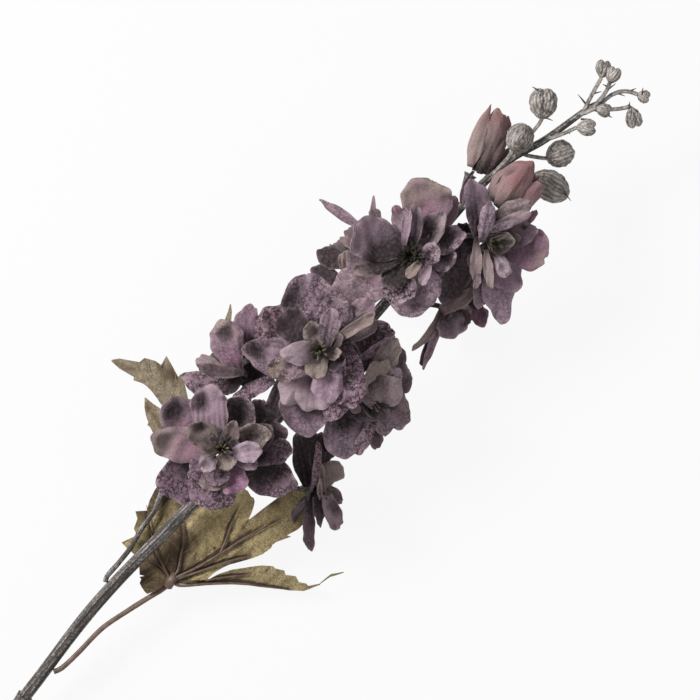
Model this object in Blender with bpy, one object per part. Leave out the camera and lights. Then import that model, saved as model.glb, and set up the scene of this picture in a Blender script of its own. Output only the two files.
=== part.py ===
"""Artificial delphinium flower spray, laid on its back blooms on a flat surface.

A moulded stem carries two palmate leaves near its foot, nine double blooms round its
middle, two opening buds above them and ten closed buds on fine twigs at the tip.

Working axes: +X runs up the stem, +Y to its left, +Z up. Tables are in millimetres.
Everything is parented to one empty, which puts the box's bottom centre at the origin.
"""
import math

import bpy
import numpy as np

MM = 0.001
GAP = 0.3                 # clearance left between two touching pieces

# Stem: centre line through these points, and radii along it
STEM_POINTS = [(-90, -16, 3.4), (-40, -12, 9.5), (6, -6.4, 15.5), (58, 0, 22), (118, 1, 29),
               (180, 1.5, 35.5), (243, 3.7, 40), (290, 9.5, 42.5), (323, 9.9, 43.5),
               (344, 4.7, 44), (366, 1.2, 44), (373, -1.2, 44)]
SLEEVE_RADIUS = 3.3       # thick lower part, from the cut end to the collar
COLLAR_RADIUS = 4.1
COLLAR_X = 6.0            # where the sleeve's open collar ends
COLLAR_LENGTH = 4.0       # full-width end of the collar
FLARE_LENGTH = 2.0        # over which the sleeve widens to the collar
SOCKET_DEPTH = 10.0       # how far the upper stem plugs into the collar
STEM_RADIUS = 2.7
STEM_TIP_RADIUS = 1.2
STEM_SIDES = 8

# Blooms: die-cut rings of petals threaded on a flared stalk
STALK_RADIUS = 1.1
STALK_SIDES = 6
STALK_SEAT = 0.6          # from the stem's skin to the middle of a stalk's flat foot
STALK_RISE = 2.5          # how far a stalk leaves the stem squarely before it bends
CALYX_RADIUS = 4.2
CALYX_NECK = 0.75         # the calyx's radius halfway up, as a share of its rim's
CALYX_DEPTH = 5.0
HUB_RADIUS = 4.5          # flat middle of a petal ring
RING_THICKNESS = 1.0
NOTCH_REACH = 0.56        # where two petals of a ring meet, as a share of their reach
RISE_EASE = 0.35          # how much of a petal's rise is lost towards its rim
OUTER_SAMPLES = 6         # corners of each petal
INNER_SAMPLES = 4
INNER_SHARE = 0.62        # inner ring's reach as a share of the outer one's
INNER_RISE = 22           # degrees by which the inner ring is steeper
CENTRE_RADIUS = 3.0
CENTRE_HEIGHT = 7.0
CENTRE_SHAPE = [(0.0, 0.8), (0.55, 0.9), (0.9, 0.75), (1.0, 0.3)]      # share of height, of radius

# name, stem station, hub (x, y, z), facing (degrees about the stem, 0 up, + left), lean
# to the tip, spin of the first petal, reach of the five petals, rise of the petals
BLOOMS = [
    ("bloom_1", 134, (150.5, 10.5, 66), 10, -4, 62, (25, 32, 32, 36, 23), 18),
    ("bloom_2", 190, (208.8, 9.0, 70), 6, 2, 53, (33, 31, 31, 25, 27), 16),
    ("bloom_3", 246, (262.3, 11.2, 64), 12, 0, 33, (33, 26, 28, 26, 27), 30),
    ("bloom_4", 284, (295.8, -10.1, 56), -46, 10, 20, (23, 17, 18, 30, 29), 20),
    ("bloom_5", 194, (211.0, -19.0, 49), -70, -4, 0, (27, 20, 18, 25, 28), 20),
    ("bloom_6", 163, (178.0, 30.0, 45), 62, 6, 18, (24, 30, 24, 15, 15), 16),
    ("bloom_7", 150, (161.0, -32.0, 31), -96, 34, 54, (19, 17, 22, 30.5, 28), 18),
    ("bloom_8", 236, (252.0, 32.0, 31), 94, 0, 18, (30, 30.5, 30, 24, 24), 18),
    ("bloom_9", 250, (260.0, -20.4, 29), -106, 0, 54, (16, 22, 28, 28.2, 18), 18),
]

# Leaves: stalk points, the blade's foot, then each lobe's tip (x, y, z) and width, clockwise
LEAF_STALK_RADIUS = 1.1
LEAF_THICKNESS = 0.8
RIB_HALF_WIDTH = 0.9
RIB_THICKNESS = 0.9
NOTCH_SHARE = 0.3         # notch between two lobes, as a share of the shorter one's length
END_NOTCH = 0.3           # outer corner of an end lobe, as a share of its width
RIB_START = 0.18          # where a lobe's midrib starts, as a share of its length
LOBE_STATIONS = (0.36, 0.46, 0.60, 0.70)       # corners of a lobe's edge along its length
LOBE_WIDTHS = (1.0, 0.78, 0.72, 0.42)          # the lobe's width there, as a share
LEAF_SAG = 1.2            # how far the edges droop below the midrib
LEAVES = [
    ("right", [(20, -8.2, 17.4), (23, -9.4, 17.3), (29, -9.9, 17.2), (36, -9.9, 17.2), (50, -9.8, 17.5),
               (64, -12.6, 16.6), (74, -14.9, 15.2), (80, -16.4, 14.6), (86.5, -17.2, 15.6)],
     (86.7, -16.6, 18),
     [(76, -4, 19, 10), (82, 11, 17, 15), (103, 18, 15, 20), (133, -10, 20, 24),
      (147, -32, 21, 26), (142, -68, 9, 15)]),
    ("left", [(66, 4.0, 23), (69, 5.4, 22.5), (75.5, 5.8, 21.8), (84.5, 6.9, 21.2), (95, 9.6, 20.7),
              (103.5, 11, 20.3), (110, 13.6, 20), (118, 17, 19.8), (127, 20.6, 19.4), (133.3, 22.7, 19.2)],
     (134.5, 23.4, 20),
     [(127, 39, 14, 13), (139, 71, 15, 24), (158, 50, 13, 20), (163, 30, 12, 13)]),
]

# Buds: pointed drops, by share of length and of radius
BUD_SHAPE = [(0.0, 0.30), (0.12, 0.74), (0.35, 1.0), (0.62, 0.86), (0.86, 0.44), (1.0, 0.10)]
BUD_STALK_RADIUS = 0.9
BUD_SIDES = 8
BUD_GROOVE = 0.06         # depth of the grooves, as a share of the bud's radius
OPENING_STALK_FLARE = 1.8
OPENING_STALK_RIM = 2.6
OPENING_SIDES = 10
OPENING_GROOVE = 0.12

# Opening buds: stalk points up to the bud's foot, bud tip, half width, half depth
OPENING_BUDS = [
    ("opening_bud_left", [(301, 13.1, 44), (305, 15.6, 45), (309.5, 17, 46)], (339, 29.5, 47), 9.6, 7.2),
    ("opening_bud_front", [(297, 9.8, 46.4), (300, 7.0, 50), (303, 3.4, 53.5)], (331, 1.0, 59), 11.2, 8.4),
]

# Closed buds: stalk points up to the bud's foot, bud tip, bud radius
CLOSED_BUDS = [
    ("bud_01", [(332.5, 10.6, 44.4), (340, 10.8, 45), (346, 12, 46), (348.5, 13.2, 46.4)],
     (359, 21, 47), 6.0),
    ("bud_02", [(318, 10.2, 46.6), (325, 10.4, 49), (329.5, 11.2, 50.6)], (341.5, 15.4, 52), 5.8),
    ("bud_03", [(333.5, 5.2, 42.8), (337, 0.5, 41.6), (339, -1.8, 41)], (350, -7.5, 39.5), 5.8),
    ("bud_04", [(325.6, 6.7, 43.1), (328.5, 1.0, 42), (329.5, -2.6, 41)], (334, -21.5, 38), 6.4),
    ("bud_05", [(345.5, 3.4, 46.4), (351, 0.6, 48), (354.5, -2.2, 49)], (361.5, -7.2, 50.5), 3.6),
    ("bud_06", [(361, 0.4, 46.2), (364, -1.2, 48), (366, -2.6, 49)], (372, -6.6, 50.5), 3.2),
    ("bud_07", [(369.5, -2.4, 42.8), (374, -6.4, 43), (378.5, -10.4, 43.4), (380.6, -11.6, 43.4)],
     (376.6, -20.2, 42.4), 3.5),
    ("bud_08", [(373.6, -1.6, 44.1), (377.6, -3, 44.6), (381.5, -4.6, 45), (384.6, -7.4, 45),
                (386, -9.4, 45)], (389, -15.4, 45), 2.8),
    ("bud_09", [(362.5, 4.1, 44.6), (368.5, 5.2, 45.2), (374, 6.2, 45.8), (378.5, 7.4, 46)],
     (387.5, 11.5, 46.5), 3.2),
    ("bud_10", [(367.4, 3.2, 45.2), (372, 2.6, 46.4), (376, 2.4, 47), (380, 2.8, 47)],
     (388.5, 3.4, 47.5), 3.4),
]

ROOT = "spray"


# ---------------------------------------------------------------- materials

def material(name, colour, roughness):
    """A plain Principled finish with an sRGB hex colour."""
    found = bpy.data.materials.get(name)
    if found:
        return found
    made = bpy.data.materials.new(name)
    made.use_nodes = True
    shader = made.node_tree.nodes["Principled BSDF"]
    channels = [int(colour[i:i + 2], 16) / 255 for i in (1, 3, 5)]
    linear = [c / 12.92 if c <= 0.04045 else ((c + 0.055) / 1.055) ** 2.4 for c in channels]
    shader.inputs["Base Color"].default_value = (*linear, 1.0)
    shader.inputs["Roughness"].default_value = roughness
    return made


def stem_plastic():
    return material("stem_plastic", "#4c4a43", 0.6)


def petal_fabric():
    return material("petal_fabric", "#7d6478", 0.85)


def inner_petal_fabric():
    return material("inner_petal_fabric", "#8a7580", 0.85)


def stamen_plastic():
    return material("stamen_plastic", "#3a3730", 0.6)


def leaf_fabric():
    return material("leaf_fabric", "#7d7347", 0.8)


def rib_plastic():
    return material("rib_plastic", "#54433a", 0.55)


def bud_plastic():
    return material("bud_plastic", "#6f6c62", 0.65)


def bud_petal_fabric():
    return material("bud_petal_fabric", "#8a5f5c", 0.8)


# ---------------------------------------------------------------- mesh helpers

def add_object(name, points, faces, finish):
    """Make one named solid from points in millimetres and faces that point outwards."""
    mesh = bpy.data.meshes.new(name)
    mesh.from_pydata([tuple(p) for p in np.asarray(points, dtype=float) * MM], [], faces)
    mesh.validate()
    mesh.shade_smooth()
    mesh.set_sharp_from_angle(angle=math.radians(50))
    mesh.materials.append(finish)
    piece = bpy.data.objects.new(name, mesh)
    bpy.context.collection.objects.link(piece)
    piece.parent = bpy.data.objects[ROOT]
    return piece


def smooth_path(points, per_span):
    """Points along a uniform Catmull-Rom curve through the given ones."""
    p = np.asarray(points, dtype=float)
    p = np.vstack([2 * p[0] - p[1], p, 2 * p[-1] - p[-2]])
    out = []
    for a, b, c, d in zip(p[:-3], p[1:-2], p[2:-1], p[3:]):
        for t in np.arange(per_span) / per_span:
            out.append(0.5 * (2 * b + (c - a) * t + (2 * a - 5 * b + 4 * c - d) * t ** 2
                              + (3 * b - a - 3 * c + d) * t ** 3))
    out.append(p[-2])
    return np.array(out)


def stem_at(x):
    """Centre of the stem at a station along X."""
    path = smooth_path(STEM_POINTS, 12)
    return np.array([x, np.interp(x, path[:, 0], path[:, 1]), np.interp(x, path[:, 0], path[:, 2])])


def stem_radius(x):
    """The upper stem thins evenly from the collar to its tip, fastest near the end."""
    along = max(0.0, (x - COLLAR_X) / (STEM_POINTS[-1][0] - COLLAR_X))
    return STEM_RADIUS + (STEM_TIP_RADIUS - STEM_RADIUS) * along ** 3


def frames_along(path):
    """Two side vectors at each point of a path, carried along it without twisting."""
    tangents = np.gradient(path, axis=0)
    tangents /= np.linalg.norm(tangents, axis=1)[:, None]
    side = np.cross(tangents[0], (0.0, 0.0, 1.0))
    if np.linalg.norm(side) < 0.1:
        side = np.array([0.0, 1.0, 0.0])
    sides, ups = [], []
    for tangent in tangents:
        side = side - tangent * side.dot(tangent)
        side /= np.linalg.norm(side)
        sides.append(side)
        ups.append(np.cross(side, tangent))
    return np.array(sides), np.array(ups)


def loft(rings):
    """Points and faces of a closed body from rings of equal count, ends closed by fans."""
    count = len(rings[0])
    points = [p for ring in rings for p in ring]
    faces = []
    for i in range(len(rings) - 1):
        for j in range(count):
            k = (j + 1) % count
            faces.append((i * count + j, i * count + k, (i + 1) * count + k, (i + 1) * count + j))
    points.append(np.mean(rings[0], axis=0))
    faces += [(len(points) - 1, (j + 1) % count, j) for j in range(count)]
    base = (len(rings) - 1) * count
    points.append(np.mean(rings[-1], axis=0))
    faces += [(len(points) - 1, base + j, base + (j + 1) % count) for j in range(count)]
    return points, faces


def tube_rings(path, radii, sides):
    """Round sections of the given radii, square to a path."""
    side, up = frames_along(path)
    turn = 2 * math.pi * np.arange(sides) / sides
    return [path[i] + radii[i] * (np.outer(np.cos(turn), side[i]) + np.outer(np.sin(turn), up[i]))
            for i in range(len(path))]


def tube(name, path, radii, sides, finish):
    """A closed round bar along a path."""
    points, faces = loft(tube_rings(path, radii, sides))
    return add_object(name, points, faces, finish)


# ---------------------------------------------------------------- stem

def make_stem():
    """A thick sleeve with a socket in its collar, and the thinner stem plugged into it."""
    path = smooth_path(STEM_POINTS, 4)
    full = COLLAR_X - COLLAR_LENGTH
    collar = [stem_at(full - FLARE_LENGTH), stem_at(full), stem_at(COLLAR_X)]
    seat = COLLAR_X - SOCKET_DEPTH
    low = np.vstack([path[path[:, 0] < seat - FLARE_LENGTH], stem_at(seat)] + collar)
    radii = [SLEEVE_RADIUS] * (len(low) - 2) + [COLLAR_RADIUS] * 2
    rings = tube_rings(low, radii, STEM_SIDES)
    socket = tube_rings(low, [STEM_RADIUS + GAP] * len(low), STEM_SIDES)
    rings += [socket[-1], socket[-2], socket[-3], socket[-4]]
    points, faces = loft(rings)
    add_object("lower_stem", points, faces, stem_plastic())

    start = stem_at(seat + GAP)
    high = np.vstack([start] + collar + [path[path[:, 0] > COLLAR_X + COLLAR_LENGTH]])
    tube("main_stem", high, [stem_radius(p[0]) for p in high], STEM_SIDES, stem_plastic())


# ---------------------------------------------------------------- blooms

def bloom_axes(facing, lean, spin):
    """Axis of a bloom, and two in-plane vectors; the first petal lies at the spin angle
    from the stem's direction, counted anticlockwise as seen from the front."""
    a, b, c = math.radians(facing), math.radians(lean), math.radians(spin)
    out = np.array([math.sin(b), math.cos(b) * math.sin(a), math.cos(b) * math.cos(a)])
    along = np.array([1.0, 0.0, 0.0])
    along -= out * along.dot(out)
    along /= np.linalg.norm(along)
    across = np.cross(out, along)
    first = along * math.cos(c) + across * math.sin(c)
    second = np.cross(out, first)
    return out, first, second


def petal_ring(name, hub, axes, reach, rise, samples, finish):
    """A die-cut ring of five petals, dished: flat in the middle, then rising with a
    slope that eases off to the rim. Each petal has a blunt round end."""
    out, first, second = axes
    count = len(reach) * samples
    turn = 2 * math.pi * np.arange(count) / count
    offset = (np.arange(count) % samples) / samples * 2 - 1      # -1 at a notch, 0 mid petal
    lobe = NOTCH_REACH + (1 - NOTCH_REACH) * (1 - offset ** 2) ** 0.5
    lengths = np.repeat(np.asarray(reach, dtype=float), samples)
    joined = np.where(offset == -1, 0.5 * (lengths + np.roll(lengths, samples)), lengths)
    edge = joined * lobe
    turn = turn - math.pi / len(reach)
    spokes = np.outer(np.cos(turn), first) + np.outer(np.sin(turn), second)

    def height(r):
        full = max(reach) - HUB_RADIUS
        t = (r - HUB_RADIUS) / full
        return math.tan(math.radians(rise)) * full * (t - RISE_EASE * t ** 2)

    levels = [np.full(count, HUB_RADIUS), 0.5 * (HUB_RADIUS + edge), edge]
    top = [hub + spokes * r[:, None] + np.outer(height(r) + RING_THICKNESS, out) for r in levels]
    bottom = [hub + spokes * r[:, None] + np.outer(height(r), out) for r in levels]
    points, faces = loft(bottom + top[::-1])
    return add_object(name, points, faces, finish)


def bloom_stalk(name, station, hub, out):
    """A bent stalk from the stem to the bloom's back, flared into a small calyx."""
    root = stem_at(station)
    tangent = stem_at(station + 1) - stem_at(station - 1)
    tangent /= np.linalg.norm(tangent)
    away = hub - root
    away -= tangent * away.dot(tangent)
    away /= np.linalg.norm(away)
    start = root + away * (stem_radius(station) + STALK_SEAT)
    end = hub - out * GAP
    bend = start + away * STALK_RISE
    neck = end - out * CALYX_DEPTH
    path = smooth_path([start, bend, 0.5 * (bend + neck), neck], 2)
    path = np.vstack([path, neck + 0.5 * CALYX_DEPTH * out, end])
    radii = [STALK_RADIUS] * (len(path) - 2) + [CALYX_NECK * CALYX_RADIUS, CALYX_RADIUS]
    return tube(name, path, radii, STALK_SIDES, stem_plastic())


def bloom_centre(name, foot, out, first, second):
    """The stamen bundle: a short bundle that swells, then closes in a dome."""
    turn = 2 * math.pi * np.arange(STALK_SIDES) / STALK_SIDES
    circle = np.outer(np.cos(turn), first) + np.outer(np.sin(turn), second)
    rings = [foot + circle * CENTRE_RADIUS * r + out * CENTRE_HEIGHT * z for z, r in CENTRE_SHAPE]
    points, faces = loft(rings)
    return add_object(name, points, faces, stamen_plastic())


def make_blooms():
    """Each bloom: a stalk, an outer and an inner ring of petals half a petal apart, a centre."""
    for name, station, hub, facing, lean, spin, reach, rise in BLOOMS:
        hub = np.array(hub, dtype=float)
        axes = bloom_axes(facing, lean, spin)
        out = axes[0]
        step = RING_THICKNESS + GAP
        bloom_stalk(name + "_stalk", station, hub, out)
        petal_ring(name + "_outer_petals", hub, axes, reach, rise, OUTER_SAMPLES, petal_fabric())
        turned = bloom_axes(facing, lean, spin + 180 / len(reach))
        inner = [INNER_SHARE * 0.5 * (a + b) for a, b in zip(reach, reach[1:] + reach[:1])]
        petal_ring(name + "_inner_petals", hub + out * step, turned, inner, rise + INNER_RISE,
                   INNER_SAMPLES, inner_petal_fabric())
        bloom_centre(name + "_centre", hub + out * 2 * step, *axes)


# ---------------------------------------------------------------- leaves

def leaf_lobes(foot, tips):
    """Midrib and two toothed edges of each lobe. A tip row is (x, y, z, width). Each lobe
    is widest at a third of its length, and neighbours meet in notches nearer the foot."""
    foot = np.array(foot, dtype=float)
    ends = [np.array(t[:3], dtype=float) for t in tips]
    ways = [(e - foot) / np.linalg.norm(e - foot) for e in ends]
    across = [np.cross((0, 0, 1.0), w) / np.linalg.norm(np.cross((0, 0, 1.0), w)) for w in ways]
    bearings = [math.atan2(w[1], w[0]) for w in ways]
    gaps = [math.pi] + [a - b for a, b in zip(bearings[:-1], bearings[1:])] + [math.pi]
    lengths = [np.linalg.norm(e - foot) for e in ends]
    notches = [foot + NOTCH_SHARE * lengths[0] * ways[0] + END_NOTCH * tips[0][3] * across[0]]
    for i, gap in enumerate(gaps[1:-1]):
        middle = (ways[i] + ways[i + 1]) / np.linalg.norm(ways[i] + ways[i + 1])
        notches.append(foot + NOTCH_SHARE * min(lengths[i], lengths[i + 1]) / math.cos(gap / 2) * middle)
    notches.append(foot + NOTCH_SHARE * lengths[-1] * ways[-1] - END_NOTCH * tips[-1][3] * across[-1])
    lobes = []
    for i, (end, side, row) in enumerate(zip(ends, across, tips)):
        mid = [foot + (end - foot) * s for s in (RIB_START,) + LOBE_STATIONS]
        down = np.array([0, 0, LEAF_SAG])
        left, right = [notches[i]], [notches[i + 1]]
        for m, s, w in zip(mid[1:], LOBE_STATIONS, LOBE_WIDTHS):
            room = [0.95 * lengths[i] * s * math.tan(min(0.5 * g, 1.2)) for g in (gaps[i], gaps[i + 1])]
            left.append(m + side * min(0.5 * row[3] * w, room[0]) - down)
            right.append(m - side * min(0.5 * row[3] * w, room[1]) - down)
        lobes.append((mid, left, right, end))
    return foot, lobes


def leaf_blade(name, foot, tips):
    """One closed sheet: every lobe is a strip from midrib to edge on both sides."""
    foot, lobes = leaf_lobes(foot, tips)
    points, faces, outline = [foot], [], []
    last_right = None
    for mid, left, right, end in lobes:
        m = [len(points) + i for i in range(len(mid))]
        points += mid
        if last_right is None:
            first_left = len(points)
            points.append(left[0])
        else:
            first_left = last_right
        a = [first_left] + [len(points) + i for i in range(len(left) - 1)]
        points += left[1:]
        b = [len(points) + i for i in range(len(right))]
        points += right
        tip = len(points)
        points.append(end)
        last_right = b[0]
        faces += [(0, m[0], a[0]), (0, b[0], m[0])]
        for i in range(len(m) - 1):
            faces += [(m[i], m[i + 1], a[i + 1], a[i]), (m[i], b[i], b[i + 1], m[i + 1])]
        faces += [(m[-1], tip, a[-1]), (m[-1], b[-1], tip)]
        outline += (a if not outline else a[1:]) + [tip] + b[::-1]
    return sheet_solid(name, points, faces, [0] + outline, LEAF_THICKNESS, leaf_fabric())


def leaf_ribs(name, foot, tips):
    """The moulded ribs: a star of narrow arms along the midribs, just above the blade."""
    foot, lobes = leaf_lobes(foot, tips)
    lift = np.array([0, 0, GAP + RIB_THICKNESS])
    points, faces, outline = [foot + lift], [], []
    for mid, left, right, end in lobes:
        way = (end - foot) / np.linalg.norm(end - foot)
        side = np.cross((0, 0, 1.0), way)
        side = side / np.linalg.norm(side) * RIB_HALF_WIDTH
        start = len(points)
        points += [mid[0] + side * 0.8 + lift, mid[-1] + side * 0.5 + lift, mid[-1] - side * 0.5 + lift,
                   mid[0] - side * 0.8 + lift]
        faces += [(0, start + 3, start), (start, start + 3, start + 2, start + 1)]
        outline += [start, start + 1, start + 2, start + 3]
        if start > 1:
            faces.append((0, start, start - 1))
    return sheet_solid(name, points, faces, [0] + outline, RIB_THICKNESS, rib_plastic())


def sheet_solid(name, points, faces, outline, thickness, finish):
    """A sheet given as upward faces and its outline, clockwise from above, thickened
    straight down into a closed body."""
    points = [np.asarray(p, dtype=float) for p in points]
    count = len(points)
    lower = [p - np.array([0, 0, thickness]) for p in points]
    down = [tuple(i + count for i in face[::-1]) for face in faces]
    wall = [(a, b, b + count, a + count) for a, b in zip(outline, outline[1:] + outline[:1])]
    return add_object(name, points + lower, faces + down + wall, finish)


def make_leaves():
    """Each leaf: a stalk, a blade, and ribs on top of the blade."""
    for side, stalk, foot, tips in LEAVES:
        path = smooth_path(stalk, 3)
        tube("leaf_stalk_" + side, path, [LEAF_STALK_RADIUS] * len(path), STALK_SIDES, stem_plastic())
        leaf_blade("leaf_blade_" + side, foot, tips)
        leaf_ribs("leaf_ribs_" + side, foot, tips)


# ---------------------------------------------------------------- buds

def bud_rings(foot, tip, half_width, half_depth, sides, groove):
    """Sections of a pointed drop from its foot to its tip, with a groove on every other side."""
    way = (tip - foot) / np.linalg.norm(tip - foot)
    side = np.cross(way, (0, 0, 1.0))
    side /= np.linalg.norm(side)
    up = np.cross(side, way)
    turn = 2 * math.pi * np.arange(sides) / sides
    sunk = 1 - groove * (np.arange(sides) % 2)
    section = (np.outer(np.cos(turn) * sunk * half_width, side)
               + np.outer(np.sin(turn) * sunk * half_depth, up))
    return [foot + (tip - foot) * t + section * r for t, r in BUD_SHAPE]


def make_closed_buds():
    """Each closed bud is moulded in one piece with its stalk."""
    for name, stalk, tip, radius in CLOSED_BUDS:
        path = smooth_path(stalk, 2)
        foot, tip = path[-1], np.array(tip, dtype=float)
        stalk_rings = tube_rings(path[:-1], [BUD_STALK_RADIUS] * (len(path) - 1), BUD_SIDES)
        rings = bud_rings(foot, tip, radius, radius, BUD_SIDES, BUD_GROOVE)
        rings = align_rings(stalk_rings, rings)
        points, faces = loft(rings)
        add_object(name, points, faces, bud_plastic())


def align_rings(first, second):
    """Turn the second set of rings so that its points follow on from the first set's."""
    a = first[-1] - np.mean(first[-1], axis=0)
    b = second[0] - np.mean(second[0], axis=0)
    b = b / np.linalg.norm(b, axis=1)[:, None]
    a = a / np.linalg.norm(a, axis=1)[:, None]
    count = len(a)
    best, flip = max(((s, f) for s in range(count) for f in (1, -1)),
                     key=lambda sf: float(np.sum(a * b[(sf[0] + sf[1] * np.arange(count)) % count])))
    order = (best + flip * np.arange(count)) % count
    return first + [ring[order] for ring in second]


def make_opening_buds():
    """An opening bud: a flared stalk, and overlapping petals folded into one pointed body."""
    for name, stalk, tip, half_width, half_depth in OPENING_BUDS:
        path = smooth_path(stalk, 3)
        tip = np.array(tip, dtype=float)
        radii = [STALK_RADIUS] * (len(path) - 2) + [OPENING_STALK_FLARE, OPENING_STALK_RIM]
        tube(name + "_stalk", path, radii, STALK_SIDES, stem_plastic())
        way = (tip - path[-1]) / np.linalg.norm(tip - path[-1])
        tangent = (path[-1] - path[-2]) / np.linalg.norm(path[-1] - path[-2])
        foot = path[-1] + way * (GAP + OPENING_STALK_RIM * math.sqrt(max(0.0, 1 - way.dot(tangent) ** 2)))
        rings = bud_rings(foot, tip, half_width, half_depth, OPENING_SIDES, OPENING_GROOVE)
        points, faces = loft(rings)
        add_object(name + "_petals", points, faces, bud_petal_fabric())


# ---------------------------------------------------------------- assembly

def face_outwards():
    """Turn any body whose faces point inwards, judged by the sign of its volume."""
    for piece in bpy.data.objects:
        if piece.type != "MESH":
            continue
        mesh = piece.data
        mesh.calc_loop_triangles()
        volume = 0.0
        for tri in mesh.loop_triangles:
            a, b, c = (mesh.vertices[i].co for i in tri.vertices)
            volume += a.dot(b.cross(c))
        if volume < 0:
            mesh.flip_normals()


def centre_on_floor():
    """Move the parent empty so that the whole box stands on its bottom centre."""
    corners = np.array([v.co[:] for piece in bpy.data.objects if piece.type == "MESH"
                        for v in piece.data.vertices])
    low, high = corners.min(axis=0), corners.max(axis=0)
    bpy.data.objects[ROOT].location = (-(low[0] + high[0]) / 2, -(low[1] + high[1]) / 2, -low[2])
    bpy.context.view_layer.update()


def main():
    """Clear the scene's objects and build the spray."""
    for item in list(bpy.data.objects):
        bpy.data.objects.remove(item)
    root = bpy.data.objects.new(ROOT, None)
    bpy.context.collection.objects.link(root)
    make_stem()
    make_leaves()
    make_blooms()
    make_opening_buds()
    make_closed_buds()
    face_outwards()
    centre_on_floor()


main()
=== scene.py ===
"""Artificial delphinium flower spray, dressed over its solid frame.

Nine double blooms of heat-embossed, printed cloth, two opening buds, ten moulded buds and
two palmate leaves on a moulded stem. Tables are in millimetres in the stem's own axes: X up
the stem, Y to its left, Z up. spray_shift() carries them into the frame's axes.
"""
import math

import bpy
import numpy as np
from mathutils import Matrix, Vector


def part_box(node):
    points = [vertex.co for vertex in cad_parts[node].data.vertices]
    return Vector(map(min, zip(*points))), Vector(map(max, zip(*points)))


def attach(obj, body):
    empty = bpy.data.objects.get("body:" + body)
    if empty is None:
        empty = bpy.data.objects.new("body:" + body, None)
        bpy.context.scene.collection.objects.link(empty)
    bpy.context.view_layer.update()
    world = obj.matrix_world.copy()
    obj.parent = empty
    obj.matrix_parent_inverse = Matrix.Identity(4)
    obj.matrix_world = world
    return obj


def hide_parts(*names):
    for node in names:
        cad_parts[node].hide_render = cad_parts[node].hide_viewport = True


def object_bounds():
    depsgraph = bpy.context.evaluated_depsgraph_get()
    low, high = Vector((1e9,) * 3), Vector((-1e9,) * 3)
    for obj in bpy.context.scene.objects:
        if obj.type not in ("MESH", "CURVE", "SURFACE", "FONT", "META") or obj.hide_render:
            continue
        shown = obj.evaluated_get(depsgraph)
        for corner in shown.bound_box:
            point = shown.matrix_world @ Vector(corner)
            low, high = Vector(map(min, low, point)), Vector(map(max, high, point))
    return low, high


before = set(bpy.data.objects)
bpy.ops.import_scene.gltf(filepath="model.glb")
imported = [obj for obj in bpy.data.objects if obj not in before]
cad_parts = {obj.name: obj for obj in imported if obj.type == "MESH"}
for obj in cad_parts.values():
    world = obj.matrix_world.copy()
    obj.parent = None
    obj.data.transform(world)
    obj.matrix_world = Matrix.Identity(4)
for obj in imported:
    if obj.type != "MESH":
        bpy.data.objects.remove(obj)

bl_info = {
    "name": "Delphinium Spray",
    "version": (1, 0, 0),
    "blender": (4, 5, 0),
    "location": "View3D > Sidebar > Spray",
    "description": "Builds an artificial delphinium spray over its solid frame",
    "category": "Object",
}

CAD_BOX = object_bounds()
MM = 0.001
# DARK is both the plum airbrushed print and painted shade; LIGHT is both the pale print and painted
# highlights
DARK, LIGHT, PINK, BEIGE, MOTTLE, ROSE = range(6)       # the shares of a petal's paint

# ---------------------------------------------------------------- what the solids say

STEM_POINTS = [(-90, -16, 3.4), (-40, -12, 9.5), (6, -6.4, 15.5), (58, 0, 22), (118, 1, 29),
               (180, 1.5, 35.5), (243, 3.7, 40), (290, 9.5, 42.5), (323, 9.9, 43.5),
               (344, 4.7, 44), (366, 1.2, 44), (373, -1.2, 44)]
COLLAR_X = 6.0            # where the thick lower sleeve ends
PLUG = 8                  # how far the thinner stem goes into it
SLEEVE_RADIUS = 3.3
STEM_RADIUS = 2.7
STEM_TIP_RADIUS = 1.2
CENTRE_MIDDLE = 6.1       # middle of a stamen bundle's solid above its bloom's hub

# name: stem station, hub, facing (degrees about the stem, 0 up, + left), lean to the tip,
# and how far its petals' meeting point is pushed from the hub
BLOOMS = {
    "bloom_1": (134, (150.5, 10.5, 66), 10, -4, (-1, -2.3, 0)),
    "bloom_2": (190, (208.8, 9.0, 70), 6, 2, (-.4, -.4, 0)),
    "bloom_3": (246, (262.3, 11.2, 64), 12, 0, (1.6, -2.1, 0)),
    "bloom_4": (284, (295.8, -10.1, 56), -46, 10, (-3, 3, 1)),
    "bloom_5": (194, (211.0, -19.0, 49), -70, -4, (-2, 0, 2)),
    "bloom_6": (163, (178.0, 30.0, 45), 62, 6, (1, -1, 0)),
    "bloom_7": (150, (161.0, -32.0, 31), -96, 34, (0, 0, 0)),
    "bloom_8": (236, (252.0, 32.0, 31), 94, 0, (7, -7, -2)),
    "bloom_9": (250, (260.0, -20.4, 29), -106, 0, (2, 5, -3)),
}

# Bow, cup, roll and paint of the outer and inner petals that are out of sight
OUTER_UNSEEN = (2, .3, 0, (.5, .1, .1, .1, .3))
INNER_UNSEEN = (2, .5, 0, (.5, .1, .1, .4, .1))


def unseen(foot, width, rest, *tips):
    """Rows of petals on a bloom's hidden side, all of one foot and width and with the same
    values from the bow to the paint. Each is given by its tip and the way it faces, or None."""
    return [((foot, tip), width, *rest, dict(face=face) if face else {}) for tip, face in tips]
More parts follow.
